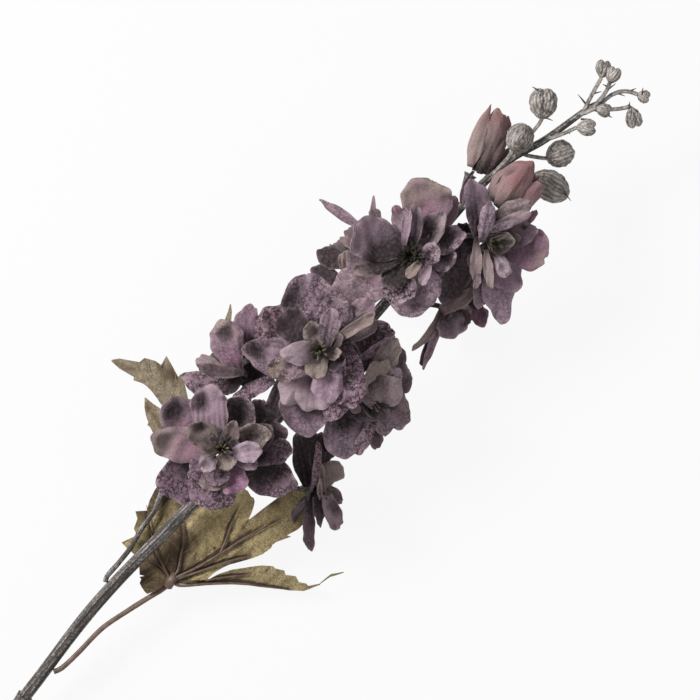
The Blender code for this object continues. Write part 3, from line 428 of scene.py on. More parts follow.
# Opening buds, petal by petal: foot, tip, the way it faces, then the same values as a bloom's
# petals; their bow and cup are negative, since their outer side shows
OPENING_BUDS = {
    "opening_bud_left": [
        ((312.7, 14.9, 44.5), (332.1, 29.4, 45.5), (0, 0, 1), 6, -.5, -1, 0, (1, 0, 0, 0, 0), {}),
        ((312, 17, 44), (335, 30, 44), (-.2, .3, -1), 8, -1.5, -1, 0, (.3, .1, .3, .5, .1), {}),
        ((313, 14, 43.5), (336, 26, 44), (.3, -.6, -.8), 8, -1.5, -1, 0, (.3, .1, .3, .5, .1), {}),
        ((315.7, 12.1, 43), (330.6, 12.7, 43), (0, -.2, 1), 4, -1, -1, 0, (.5, 0, .1, .5, .1), dict(claw=.6)),
        ((314.4, 15.2, 43), (337.8, 28.8, 45), (0, 0, 1), 5, -.5, -.8, 0, (.5, 0, .5, .1, .1), dict(claw=.6)),
        ((315, 11.6, 44), (339, 22.6, 47), (.3, -.4, 1), 8, -2, -1, 0, (.35, 0, .2, .5, .05),
         dict(rose=.3, claw=.5, peak=.7, point=.4, foot=6, crease=-.6, lip=.3, ruffle=(.8, 4),
              spots=[(ROSE, 0, 1, 6, .8)])),
        ((313.3, 14.3, 45), (339.1, 26.4, 49), (.1, -.1, 1), 12.5, -2.4, -1.1, 0, (.2, .1, .1, .8, .05),
         dict(rose=.1, claw=.45, peak=.7, point=.4, foot=8, crease=-.6, lip=.4, ruffle=(1, 4),
              spots=[(ROSE, 0, .95, 8, .7), (DARK, .6, .55, 3.5, .5),
                     (DARK, -.9, .4, 4, .6)])),
        ((311.7, 19.5, 46), (337.4, 32.6, 48), (-.1, .35, 1), 8.6, -2.5, -1.1, 0, (.05, .1, 0, .8, .05),
         dict(sweep=-.6, peak=.36, claw=.35, point=.95, foot=1, crease=-.5, lip=.3, ruffle=(.8, 3),
              spots=[(ROSE, 0, 1, 10, .75)])),
    ],
    "opening_bud_front": [
        ((309, 1, 50), (331, 1, 53), (0, 0, 1), 9, -1, -1, 0, (1, 0, .2, 0, 0), {}),
        ((308, 3, 50), (330, 2, 52), (-.2, .7, -.8), 14, -3, -1.1, 0, (.1, .15, .5, .5, .1), {}),
        ((309, -4, 50), (329, -4, 52), (.1, -.7, -.8), 12, -3, -1.1, 0, (.1, .15, .5, .5, .1), {}),
        ((317.5, -5.2, 54), (328.5, -4.1, 57), (.3, -.3, 1), 6, -.5, -.5, 0, (.9, 0, .5, 0, .1),
         dict(claw=.7, point=.7, foot=2)),
        ((307.2, 2.6, 52), (331.3, 1.8, 58), (-.1, .4, 1), 19, -3, -1.2, 0, (.05, .1, .1, .75, .1),
         dict(rose=.25, claw=.5, peak=.45, point=.62, foot=2, crease=-.6, ruffle=(.6, 3), lip=.3,
              spots=[(ROSE, .1, .9, 9, .7), (DARK, -.3, .6, 3, .4, .7), (DARK, 0, .05, 5, .4)])),
        ((309.6, -7.6, 51.5), (327.8, -7.8, 56.5), (.2, -.4, 1), 11.5, -2, -1, 0, (0, .25, .1, .5, .1),
         dict(rose=.45, claw=.5, peak=.6, point=.5, foot=2, lip=.3,
              spots=[(ROSE, 0, .8, 6, .2), (BEIGE, 0, .1, 5, .8)])),
        ((306.9, -1.8, 53), (328.2, 1.9, 60), (0, -.1, 1), 11, -3, -1.1, 0, (0, .15, .1, .7, .1),
         dict(rose=.2, claw=.5, peak=.42, point=.75, foot=2, crease=-.7, lip=.2, ruffle=(.5, 3),
              spots=[(ROSE, 0, .7, 7, .7), (DARK, 0, .05, 5, .4)])),
    ],
}

# Closed buds: stalk points up to the bud's foot, bud tip, radius, number of lobes, degrees the
# first lobe is turned round the bud from level, how far the lobes' tips part (0 to 1), and
# how far along the bud is fattest (over 1 for nearer the tip)
CLOSED_BUDS = {
    "bud_01": ([(332.5, 10.6, 44.4), (340, 10.8, 45), (346, 11.4, 46), (349, 12.2, 46.4)],
               (358.6, 21.4, 47), 6.0, 3, 25, .35, 1.1),
    "bud_02": ([(318, 10.2, 46.6), (325, 10.4, 49), (329.5, 11.2, 50.6)],
               (341.5, 15.4, 52), 5.8, 3, 100, .15, 1),
    "bud_03": ([(333.5, 5.2, 42.8), (337, 0.5, 41.6), (339, -1.8, 41)],
               (350, -7.5, 39.5), 5.8, 3, 70, .2, 1.1),
    "bud_04": ([(325.6, 6.7, 43.1), (328.5, 1.0, 42), (329.5, -2.6, 41)],
               (334, -20.5, 38), 6.4, 2, 12, 0, 1.15),
    "bud_05": ([(345.5, 3.4, 46.4), (351, 0.8, 48), (356.4, -1.2, 49)],
               (362.3, -7.4, 50.5), 3.7, 2, 10, 1, 1.2),
    "bud_06": ([(364, 0.6, 46.2), (367, -.6, 48), (368.6, -1.4, 49)],
               (371.6, -7.2, 50.5), 3.2, 2, 20, 1, 1.2),
    "bud_07": ([(369.5, -2.4, 42.8), (374, -6.6, 43), (378.2, -10, 43.4), (380.8, -11.2, 43.4)],
               (376, -20, 42.4), 3.6, 2, 15, .9, 1.5),
    "bud_08": ([(372.6, -1.4, 44.1), (377.5, -1.9, 44.6), (381.6, -3.6, 45), (384.4, -6.3, 45),
                (386.2, -9.8, 45)], (388.9, -15, 45), 2.9, 2, 10, 1, 1.2),
    "bud_09": ([(363.5, 1.4, 44.6), (369.1, 3.2, 45.2), (373.5, 4.6, 45.8), (379.8, 6.4, 46)],
               (386.6, 11, 46.5), 3.3, 2, 0, 1, 1.25),
    "bud_10": ([(366.5, 0, 45.2), (372.3, 0, 46.4), (377.2, .8, 47), (380.7, 2.2, 47)],
               (387.7, 5.2, 47.5), 3.4, 2, 25, 1, 1.25),
}

# Tiny bracts on the twigs and buds: foot and tip
BRACTS = [((367.3, 3.6, 45), (367.6, 8.8, 46)), ((378.9, 1.6, 47), (378.2, 4, 47.5)),
          ((372.7, 4, 45.6), (375.8, 2.1, 46.6)), ((378.4, .8, 47), (382.3, .2, 48)),
          ((384.6, -6.4, 45), (387.6, -7.6, 46)), ((380.2, -3, 45), (381.8, -6.6, 45.4)),
          ((387.4, -11.4, 46), (389.6, -9.4, 47.5)), ((379.6, -11.4, 44), (381.6, -9.8, 45)),
          ((369, -6.4, 51.5), (370, -9.2, 52.2)), ((361, 0, 45), (364.1, -3.2, 45.6)),
          ((349.8, 12, 47.4), (351.4, 8.2, 48)), ((356, 22, 50), (355, 25, 50.5)),
          ((354.4, .4, 47), (352.5, -1.2, 47)), ((333.6, -17.4, 41.5), (333, -22.4, 42))]

# Leaves: stalk and what it is made of, foot, sheets (its two edges, corner by corner) and ribs
# (points, radius at the foot); how grey its print is, how strong the dark folds beside its
# ribs are, their dark partly print and partly painted shade, and how far the ribs are sunk under
# the blade. The right leaf's fan is ruled from its foot to a row of corners, each a bearing from
# the stem's direction and a reach; its fan's ribs are given in the same way.
LEAVES = {
    "right": dict(
        stalk=[(20, -8.2, 17.4), (23, -9.4, 17.3), (29, -9.9, 17.2), (36, -9.9, 17.2), (50, -9.8, 17.5),
               (64, -12.6, 16.6), (74, -14.9, 15.2), (80, -16.4, 14.6), (86.5, -17.2, 15.6)],
        stalk_material="rib_moulded_polyethylene", foot=(86.7, -16.6, 18), grey=.15, folds=1, sunk=0,
        fan=[(-44.5, 15.9), (-35.7, 19.2), (-31, 24.4), (-29.4, 29.3), (-30, 34.4), (-29.8, 38.6), (-29, 43),
             (-27, 47.6), (-25.6, 48.6), (-24.7, 51), (-23.6, 48.9), (-24.8, 54.2), (-24.9, 57.9),
             (-23.7, 56.2),
             (-23, 62), (-21, 67.7), (-15.4, 74), (-9.5, 76), (-8, 69), (-7.2, 64), (-7, 54), (-7.7, 50),
             (-8.2, 46.5), (-8.5, 43.8), (-6.6, 44.8), (-4.6, 48), (-3, 50.2), (-1.6, 52), (0, 52.8),
             (1.6, 52.4), (4.5, 53.4), (11.6, 52.4), (21.7, 50),
             (32, 48.4), (43, 46), (53, 43.4), (55.7, 41.4), (60.4, 37.5), (64.7, 33.5), (72.4, 35.3),
             (73.7, 32),
             (80.6, 29), (82, 25.8), (97.5, 28.4), (98.5, 25), (99.2, 22.3), (101, 18.5), (111, 16),
             (124, 14.5),
             (125, 12.2), (128, 14.4), (132.5, 13.6), (139, 14.3), (147.5, 13.6), (157.5, 13), (164, 12.4),
             (167, 9.4), (167, 6)],
        fan_ribs=[([(-8, 1), (-18, 14.6), (-16.4, 25.2), (-15, 41.2), (-15.7, 55.7)], 1.1),
                  ([(-16.4, 25.2), (-8.4, 30.9), (-2, 37), (2.5, 45)], .7),
                  ([(-27, 1), (-27, 11.3), (-26.5, 21), (-26.5, 29), (-27.6, 37.4)], .8),
                  ([(12, 1), (12.5, 5.7), (24, 12.4), (29.4, 21.4), (39, 34.4)], .8),
                  ([(70, 1), (73, 7.5), (72.3, 14), (67, 25.7), (63, 36)], .8),
                  ([(82, 1), (82.5, 8.3), (95, 16)], .5)],
        sheets=[([(85.8, -17.6, 17.3), (94, -27.2, 15.5), (98, -31, 14.6), (102.3, -35.1, 13.8),
                  (109.7, -43.7, 12.4),
                  (115.2, -51.1, 11.2), (118, -54.6, 10.7), (119.4, -56.5, 10.4), (120.8, -58.4, 10.2),
                  (122.8, -60.5, 9.8), (124.8, -62.7, 9.5), (126.2, -63.5, 9.2), (127.7, -64.3, 9),
                  (130, -65.2, 9),
                  (132.1, -66.1, 9), (133.4, -65.9, 9.2)],
                 [(92, -14.5, 16.6), (96.5, -21.5, 16), (97.8, -28, 16.4), (103.3, -29.6, 15.4),
                  (109.2, -32.6, 14.4),
                  (120.2, -41, 13), (123.4, -44.9, 12.4), (123.3, -46.1, 12.2), (125.5, -49.9, 11.6),
                  (123.8, -50.6, 11.5),
                  (127.4, -55.5, 11), (125.3, -56.6, 10.8), (128.3, -61.3, 10), (127.4, -62.3, 9.9),
                  (132.5, -65.6, 9.6), (133.8, -65.6, 9.5)]),
                ([(133, -66, 9.2), (138, -66.9, 9.4), (143.8, -69.9, 9.4)],
                 [(133.6, -65.6, 9.5), (139.4, -66.2, 9.8), (144.1, -69.6, 9.5)])],
        ribs=[([(86.7, -17.5, 17.6), (88.3, -21.5, 17.4), (97.9, -30.2, 15.6), (107.4, -39.9, 13.6),
                (113.4, -48, 12.4),
                (120.4, -57, 11)], 1.0), ([(97.6, -27.6, 16.4), (104.7, -32.8, 15.2), (113.5, -40, 13.8)],
                                          .6)]),
    "left": dict(
        stalk=[(66, 4.0, 23), (69, 5.4, 22.5), (75.5, 5.8, 21.8), (84.5, 6.9, 21.2), (95, 9.6, 20.7),
               (103.5, 11, 20.3), (110, 13.6, 20), (118, 17, 19.8), (127, 20.6, 19.4), (133.3, 22.7, 19.2)],
        stalk_material="stem_washed_polyethylene", foot=(134.5, 23.4, 20), grey=.85, folds=0, sunk=1.4,
        fan=[], fan_ribs=[],
        sheets=[([(135, 24.3, 20), (138.4, 34.6, 18), (139.7, 42.3, 17), (140.3, 45.5, 16.6),
                  (140.7, 47.7, 16.4),
                  (141, 51.4, 16), (141, 53.2, 15.8), (140.6, 55.4, 15.5), (139.7, 57.6, 15.2),
                  (138.5, 59.7, 15),
                  (139.7, 60.8, 15), (138.7, 64.4, 14.6), (137.7, 68, 14.2), (137.4, 73, 14)],
                 [(136.5, 23.5, 20), (148, 32.7, 17), (154.7, 43.2, 16), (156, 46.6, 15.6), (154, 46.4, 15.8),
                  (155.7, 52, 15.4), (157, 57, 15), (152.5, 55, 15.6), (151.8, 59, 15.2), (149.3, 63.4, 14.8),
                  (146.4, 63.7, 15), (144, 67, 14.8), (140.8, 71.6, 14.4), (138, 73.5, 14)]),
                ([(133, 24, 20), (129, 29.8, 18.6), (128, 36, 17.4), (129, 39.4, 16.8), (128.7, 41, 16.4),
                  (129.8, 41.2, 16.4), (131.4, 44.7, 15.6), (133.2, 47.4, 15), (136.2, 50.5, 14.4)],
                 [(136.4, 25, 20), (135.7, 32, 18.6), (137, 39, 17.4), (138.3, 42.3, 16.8),
                  (137.8, 43.8, 16.4),
                  (137.5, 45.4, 16.2), (137.2, 47.6, 15.6), (137, 49.4, 15), (136.7, 50.8, 14.4)]),
                ([(140, 26, 20), (160, 36, 17), (180, 46, 15), (187.3, 50, 14.4), (191, 51.6, 14.2),
                  (194, 53.3, 14)],
                 [(140, 24, 20), (162, 33, 17), (182, 43, 15), (188.6, 47.2, 14.4), (192.1, 50.1, 14.2),
                  (194.3, 53, 14)])],
        ribs=[([(137, 25, 18.6), (143, 39, 16), (146, 48, 14.8), (144, 58, 14), (139, 70, 12.8)], .8),
              ([(134.5, 25, 18.6), (133, 36, 16.4), (134.5, 46, 14.4)], .6)]),
}

# Sizes and counts, in millimetres where nothing else is said
PETAL_ACROSS = 28         # cells across a petal, and from its foot to its widest and to its tip
PETAL_TO_WIDEST = 15
PETAL_TO_TIP = 15
LAST_ROW = 87.5           # degrees from a petal's widest row, 0, to the point of its tip, 90
STAMEN_SPREAD = 38        # widest angle from a bloom's axis, in degrees, where wide is 1
STAMEN_HEIGHT = (6, 9.5)  # shortest and longest
STAMEN_ROUND = 6          # points round a stamen
BUD_CLOTH = .4            # thickness of an opening bud's petals
LEAF_ACROSS = 60          # cells across a leaf's sheet, and along each span of its edges
LEAF_ALONG = 5
SIDE_VEINS = 6.5          # how far apart a leaf's side veins leave a rib
LIFT = 0.5                # lowest a petal or a leaf may hang above the floor
SOFT = 2.5                # height above that under which it is bent upwards
LARGE_BUD = 5             # radius over which a closed bud has more ridges
GROOVED = 70              # degrees of the least bend shown sharp on a grooved tube

# The stage, in metres: how far the floor reaches each way, its own colour and how strongly it
# glows; how strong the white sky is; where each soft light is, its width and its power in
# watts; and where along the stem the camera stands, and its turn about the upright in degrees
FLOOR_REACH = 6.0
FLOOR_SHADE = "#4a4a4a"
FLOOR_GLOW = 0.93
SKY_STRENGTH = 0.28
LAMPS = {"key": ((-.25, 1.0, .9), .5, 20.0), "fill": ((.5, -.7, 1.1), 1.0, 2.5)}
CAMERA_STATION = 0.2178
CAMERA_TURN = -45


# ---------------------------------------------------------------- properties

class SprayCloth(bpy.types.PropertyGroup):
    """Sizes and colours of the petals."""
    thickness: bpy.props.FloatProperty(name="Cloth thickness", description="Thickness of a bloom's petals",
                                       default=0.00035, min=0.0001, max=0.001, unit="LENGTH")
    mauve: bpy.props.StringProperty(name="Mauve", description="Main print colour, sRGB hex",
                                    default="#806875")
    # Plum: the airbrushed dark print, and also the painted shade in hollows, at petal feet, on petal backs
    # and in shadowed gaps
    plum_print_and_shade: bpy.props.StringProperty(name="Plum", description="Dark airbrushed colour, sRGB hex",
                                   default="#2a2022")
    # Pale lilac: the worn light print, and also the painted highlight along rims and round pressed hollows
    pale: bpy.props.StringProperty(name="Pale lilac", description="Worn light colour, sRGB hex",
                                   default="#ab97a3")
    pink: bpy.props.StringProperty(name="Orchid pink", description="Blush near a petal's foot, sRGB hex",
                                   default="#91627f")
    rose: bpy.props.StringProperty(name="Rose", description="Dusky rose of the opening buds, sRGB hex",
                                   default="#8a5f60")
    beige: bpy.props.StringProperty(name="Beige", description="Faded rims, sRGB hex", default="#94837b")
    crackle: bpy.props.StringProperty(name="Crackle", description="Printed veins, sRGB hex",
                                      default="#2f1d25")


class SprayStem(bpy.types.PropertyGroup):
    """Sizes and colours of the stem, buds and stamens."""
    bark: bpy.props.StringProperty(name="Stem", description="Moulded stem colour, sRGB hex",
                                   default="#433c37")
    wash: bpy.props.StringProperty(name="Pale wash", description="Whitish wash on the stem, sRGB hex",
                                   default="#aaa4a0")
    bud: bpy.props.StringProperty(name="Bud", description="Closed bud colour, sRGB hex", default="#665c54")
    filament: bpy.props.StringProperty(name="Filament", description="Stamen thread colour, sRGB hex",
                                       default="#2a2520")
    dust: bpy.props.StringProperty(name="Yellow dust", description="Dusted stamen tips, sRGB hex",
                                   default="#8f8468")
    stamens: bpy.props.IntProperty(name="Stamens", description="Stamens in each bloom", default=26,
                                   min=6, max=60)
    stamen_radius: bpy.props.FloatProperty(name="Stamen radius", description="Radius of a filament",
                                           default=0.00028, min=0.0001, max=0.001, unit="LENGTH")


class SprayLeaf(bpy.types.PropertyGroup):
    """Sizes and colours of the leaves."""
    thickness: bpy.props.FloatProperty(name="Leaf thickness", description="Thickness of the leaf cloth",
                                       default=0.0005, min=0.0002, max=0.002, unit="LENGTH")
    olive: bpy.props.StringProperty(name="Olive", description="Leaf green, sRGB hex", default="#b3a074")
    grey: bpy.props.StringProperty(name="Grey", description="Faded grey-tan print, sRGB hex",
                                   default="#908472")
    # Brown: the leaf's brown print, and also a painted shadow of the stem on the right leaf
    brown: bpy.props.StringProperty(name="Brown", description="Leaf brown, sRGB hex", default="#5a4733")
    vein: bpy.props.StringProperty(name="Side veins", description="Pale side veins, sRGB hex",
                                   default="#a89c72")
    net: bpy.props.StringProperty(name="Net", description="Fine brown net, sRGB hex", default="#4f3d2c")
    # Folds: partly print and partly painted shade in the sunk fold beside each rib
    fold: bpy.props.StringProperty(name="Folds", description="Dark folds beside the ribs, sRGB hex",
                                   default="#3d2b22")
    rib: bpy.props.StringProperty(name="Rib", description="Moulded rib colour, sRGB hex", default="#6b564a")


class SprayStage(bpy.types.PropertyGroup):
    """Floor, lights and camera."""
    floor: bpy.props.StringProperty(name="Floor", description="Floor colour, sRGB hex", default="#f7f7f7")
    lens: bpy.props.FloatProperty(name="Lens", description="Camera focal length in millimetres",
                                  default=100.0, min=20.0, max=300.0)
    height: bpy.props.FloatProperty(name="Camera height", description="Camera above the floor",
                                    default=0.898, min=0.3, max=3.0, unit="LENGTH")
    exposure: bpy.props.FloatProperty(name="Exposure", description="Brightness of the picture, in stops",
                                      default=0.06, min=-2.0, max=2.0)


# ---------------------------------------------------------------- materials

def linear(colour):
    """sRGB hex to linear RGBA."""
    channels = np.array([int(colour[i:i + 2], 16) for i in (1, 3, 5)]) / 255
    low, high = channels / 12.92, ((channels + 0.055) / 1.055) ** 2.4
    return (*(float(v) for v in np.where(channels <= 0.04045, low, high)), 1.0)


def add(tree, kind, inputs=None, out=0, **settings):
    """Add one node and give its output of the number or name out, or all its outputs if that
    is None. Settings are its own properties; inputs gives each socket a value, or the output
    of another node that feeds it."""
    made = tree.nodes.new("ShaderNode" + kind)
    for key, value in settings.items():
        setattr(made, key, value)
    for key, value in (inputs or {}).items():
        if isinstance(value, bpy.types.NodeSocket):
            tree.links.new(value, made.inputs[key])
        else:
            made.inputs[key].default_value = value
    return made.outputs if out is None else made.outputs[out]


def petal_cloth(tree):
    """Polyester cloth, printed and airbrushed, then pressed hot into shape: matt, mottled,
    with soft dark patches that are airbrushed print and painted shade together, rose feet, faded
    rims with a painted highlight along them, and a fine crackle of burgundy veins."""
    look = bpy.context.scene.spray_cloth
    smooth = dict(interpolation_type="SMOOTHSTEP")
    uv = add(tree, "UVMap", uv_map="cloth")
    paint = add(tree, "Attribute", None, None, attribute_name="paint")
    dark, light, pink = add(tree, "SeparateColor", {0: paint["Color"]}, None)
    wear = add(tree, "Attribute", None, "Color", attribute_name="wear")
    mottle, rose, _ = add(tree, "SeparateColor", {0: wear}, None)
    # one UV unit is 10 mm: patches of 6 mm, blotches of 1.5 mm, crackle cells of 2.2 and 1.2 mm
    patch = add(tree, "TexNoise", {"Vector": uv, "Scale": 1.7, "Detail": 2.0})
    blotch = add(tree, "TexNoise", {"Vector": uv, "Scale": 6.5, "Detail": 3.0, "Roughness": 0.65})
    fleck = add(tree, "TexNoise", {"Vector": uv, "Scale": 17.0, "Detail": 2.0})
    bend = add(tree, "TexNoise", {"Vector": uv, "Scale": 4.0, "Detail": 2.0}, 1)
    shift = add(tree, "VectorMath", {0: bend, 3: 0.34}, operation="SCALE")
    bent = add(tree, "VectorMath", {0: uv, 1: shift}, operation="ADD")
    lines = []
    for scale, low, high, least, most in ((4.6, .35, .62, .05, .3), (8.5, .45, .65, 0, .4)):
        cells = add(tree, "TexVoronoi", {"Vector": bent, "Scale": scale}, feature="DISTANCE_TO_EDGE")
        thick = add(tree, "MapRange", {0: blotch, 1: low, 2: high, 3: least, 4: most})
        lines.append(add(tree, "MapRange", {0: cells, 1: 0.0, 2: thick, 3: 1.0, 4: 0.0}, **smooth))
    line = add(tree, "Math", {0: lines[0], 1: lines[1]}, operation="MAXIMUM")
    broken = add(tree, "MapRange", {0: patch, 1: 0.32, 2: 0.52}, **smooth)
    speck = add(tree, "MapRange", {0: blotch, 1: 0.56, 2: 0.72}, **smooth)
    veins = add(tree, "Math", {0: line, 1: broken}, operation="MULTIPLY")
    marks = add(tree, "Math", {0: veins, 1: speck}, operation="MAXIMUM")
    marks = add(tree, "Math", {0: marks, 1: mottle}, operation="MULTIPLY")
    uneven = add(tree, "MapRange", {0: blotch, 1: 0.3, 2: 0.7, 3: 0.75, 4: 1.25})
    dark, light, pink, beige = (add(tree, "Math", {0: share, 1: uneven}, operation="MULTIPLY", use_clamp=True)
                                for share in (dark, light, pink, paint["Alpha"]))
    colour = linear(look.mauve)
    # the light share mixes in the pale print and the painted highlights on rims and round pressed hollows;
    # the dark share mixes in the plum print and the painted shade
    for share, coat in ((light, look.pale), (pink, look.pink), (beige, look.beige), (rose, look.rose),
                        (marks, look.crackle), (dark, look.plum_print_and_shade)):
        colour = add(tree, "Mix", {0: share, 6: colour, 7: linear(coat)}, 2, data_type="RGBA")
    grain = add(tree, "MapRange", {0: fleck, 1: 0.3, 2: 0.7, 3: 0.78, 4: 1.3})
    colour = add(tree, "VectorMath", {0: colour, 3: grain}, operation="SCALE")
    return colour, add(tree, "Math", {0: blotch, 1: fleck}, operation="ADD")


def stem_plastic(tree):
    """Polyethylene moulded over wire, then brushed with a pale wash that stays on the ridges:
    satin, dark grey-brown with lengthwise streaks of grey."""
    look = bpy.context.scene.spray_stem
    where = add(tree, "TexCoord", None, "Object")
    # the grain is in centimetres: streaks 1.2 mm across and 14 mm long; flecks of 1 mm
    grain = add(tree, "Attribute", None, "Vector", attribute_name="grain")
    squeezed = add(tree, "Mapping", {0: grain, 3: (8.0, 8.0, 0.7)})
    streak = add(tree, "TexNoise", {"Vector": squeezed, "Scale": 1.0, "Detail": 4.0})
    fleck = add(tree, "TexNoise", {"Vector": where, "Scale": 900.0, "Detail": 3.0})
    washed = add(tree, "Attribute", None, "Fac", attribute_name="wash")
    both = add(tree, "Math", {0: streak, 1: fleck}, operation="MULTIPLY")
    spread = add(tree, "MapRange", {0: both, 1: 0.2, 2: 0.36}, interpolation_type="SMOOTHSTEP")
    amount = add(tree, "Math", {0: spread, 1: washed}, operation="MULTIPLY", use_clamp=True)
    colour = add(tree, "Mix", {0: amount, 6: linear(look.bark), 7: linear(look.wash)}, 2, data_type="RGBA")
    shade = add(tree, "MapRange", {0: streak, 1: 0.3, 2: 0.7, 3: 0.6, 4: 1.25})
    colour = add(tree, "VectorMath", {0: colour, 3: shade}, operation="SCALE")
    return colour, add(tree, "Math", {0: streak, 1: fleck}, operation="ADD")


def bud_plastic(tree):
    """The stem's plastic moulded into buds and rubbed harder with the pale wash: grey-brown,
    with wrinkled pale and dark lines."""
    look = bpy.context.scene.spray_stem
    where = add(tree, "TexCoord", None, "Object")
    wrinkle = add(tree, "TexNoise", {"Vector": where, "Scale": 330.0, "Detail": 4.0, "Distortion": 1.2})
    # the grain is in centimetres: wrinkles 1.2 mm across and 7 mm long
    grain = add(tree, "Attribute", None, "Vector", attribute_name="grain")
    squeezed = add(tree, "Mapping", {0: grain, 3: (8.0, 8.0, 1.5)})
    lines = add(tree, "TexNoise", {"Vector": squeezed, "Scale": 1.0, "Detail": 4.0, "Distortion": 0.6})
    washed = add(tree, "Attribute", None, "Fac", attribute_name="wash")
    mixed = add(tree, "Math", {0: wrinkle, 1: lines}, operation="MULTIPLY")
    spread = add(tree, "MapRange", {0: mixed, 1: 0.14, 2: 0.3, 3: 0.2}, interpolation_type="SMOOTHSTEP")
    amount = add(tree, "Math", {0: spread, 1: washed}, operation="MULTIPLY", use_clamp=True)
    colour = add(tree, "Mix", {0: amount, 6: linear(look.bud), 7: linear(look.wash)}, 2, data_type="RGBA")
    shade = add(tree, "MapRange", {0: wrinkle, 1: 0.3, 2: 0.65, 3: 0.6, 4: 1.35})
    return add(tree, "VectorMath", {0: colour, 3: shade}, operation="SCALE"), mixed


def stamen_plastic(tree):
    """Polyethylene threads with dusted tips: dark olive filaments, dull yellow anthers."""
    look = bpy.context.scene.spray_stem
    where = add(tree, "TexCoord", None, "Object")
    grain = add(tree, "TexNoise", {"Vector": where, "Scale": 1500.0, "Detail": 2.0})
    tip = add(tree, "Attribute", None, "Fac", attribute_name="wash")
    dusty = add(tree, "Math", {0: tip, 1: grain}, operation="MULTIPLY", use_clamp=True)
    threads, dust = linear(look.filament), linear(look.dust)
    return add(tree, "Mix", {0: dusty, 6: threads, 7: dust}, 2, data_type="RGBA"), grain


def leaf_cloth(tree):
    """Polyester cloth printed as an ageing leaf and pressed on ribs: matt olive and brown
    patches, the brown also a painted shadow of the stem on the right leaf, a fine brown net, pale
    side veins and dark folds beside the ribs, partly print and partly painted shade."""
    look = bpy.context.scene.spray_leaf
    uv = add(tree, "UVMap", uv_map="cloth")
    wear = add(tree, "Attribute", None, "Vector", attribute_name="wear")
    brown, grey, _ = add(tree, "SeparateXYZ", {0: wear}, None)
    # one UV unit is 10 mm: patches of 8 mm, blotches of 2 mm, net cells of 1.1 mm
    patch = add(tree, "TexNoise", {"Vector": uv, "Scale": 1.3, "Detail": 3.0})
    blotch = add(tree, "TexNoise", {"Vector": uv, "Scale": 5.0, "Detail": 6.0, "Roughness": 0.8})
    net = add(tree, "TexVoronoi", {"Vector": uv, "Scale": 9.0}, feature="DISTANCE_TO_EDGE")
    thread = add(tree, "MapRange", {0: net, 1: 0.0, 2: 0.12, 3: 0.6, 4: 0.0})
    veins = add(tree, "Attribute", None, "Vector", attribute_name="veins")
    along, _, fold = add(tree, "SeparateXYZ", {0: veins}, None)
    wander = add(tree, "Math", {0: blotch, 1: 0.12, 2: along}, operation="MULTIPLY_ADD")
    # in centimetres; a line wherever the way along a rib comes to a whole number of side veins
    comb = add(tree, "Math", {0: wander, 1: SIDE_VEINS / 20}, operation="PINGPONG")
    line = add(tree, "MapRange", {0: comb, 1: 0.0, 2: 0.05, 3: 0.45, 4: 0.0})
    # the brown is print, and on the right leaf also a painted shadow of the stem
    brown = add(tree, "Math", {0: patch, 1: brown}, operation="ADD")
    brown = add(tree, "MapRange", {0: brown, 1: 0.5, 2: 1.05}, interpolation_type="SMOOTHSTEP")
    colour = linear(look.olive)
    for share, coat in ((grey, look.grey), (brown, look.brown), (line, look.vein), (thread, look.net)):
        colour = add(tree, "Mix", {0: share, 6: colour, 7: linear(coat)}, 2, data_type="RGBA")
    shade = add(tree, "MapRange", {0: blotch, 1: 0.3, 2: 0.7, 3: 0.55, 4: 1.35})
    colour = add(tree, "VectorMath", {0: colour, 3: shade}, operation="SCALE")
    # the folds beside the ribs: dark partly print and partly painted shade
    fold = add(tree, "Math", {0: fold, 1: 0.88}, operation="MULTIPLY")
    colour = add(tree, "Mix", {0: fold, 6: colour, 7: linear(look.fold)}, 2, data_type="RGBA")
    return colour, add(tree, "Math", {0: line, 1: blotch}, operation="ADD")


def rib_plastic(tree):
    """Polyethylene ribs moulded on to the leaf cloth: satin brown, darker in patches."""
    where = add(tree, "TexCoord", None, "Object")
    noise = add(tree, "TexNoise", {"Vector": where, "Scale": 350.0, "Detail": 4.0})
    shade = add(tree, "MapRange", {0: noise, 1: 0.3, 2: 0.7, 3: 0.6, 4: 1.45})
    rib = linear(bpy.context.scene.spray_leaf.rib)[:3]
    return add(tree, "VectorMath", {0: rib, 3: shade}, operation="SCALE"), noise


# Each finish: what paints it, roughness, IOR, sheen, and its bump's strength and depth in metres
FINISHES = {
    "petal_printed_polyester": (petal_cloth, 0.88, 1.46, 0.12, 0.35, 0.0004),
    "stem_washed_polyethylene": (stem_plastic, 0.5, 1.51, 0.0, 0.6, 0.0006),
    "bud_washed_polyethylene": (bud_plastic, 0.55, 1.51, 0.0, 0.7, 0.0008),
    "stamen_dusted_polyethylene": (stamen_plastic, 0.7, 1.51, 0.0, 0.5, 0.0002),
    "leaf_printed_polyester": (leaf_cloth, 0.75, 1.46, 0.1, 0.6, 0.0006),
    "rib_moulded_polyethylene": (rib_plastic, 0.5, 1.51, 0.0, 0.5, 0.0005),
}


def finish(name):
    """The material of that name. It is made once: its painter gives the colour and height
    that feed its shader."""
    found = bpy.data.materials.get(name)
    if found:
        return found
    paint, roughness, ior, sheen, strength, depth = FINISHES[name]
    made = bpy.data.materials.new(name)
    made.use_nodes = True
    tree = made.node_tree
    shader = tree.nodes["Principled BSDF"]
    for socket, value in (("Roughness", roughness), ("IOR", ior), ("Sheen Weight", sheen)):
        shader.inputs[socket].default_value = value
    colour, height = paint(tree)
    bump = add(tree, "Bump", {"Strength": strength, "Distance": depth, "Height": height})
    tree.links.new(colour, shader.inputs["Base Color"])
    tree.links.new(bump, shader.inputs["Normal"])
    return made


# ---------------------------------------------------------------- placing

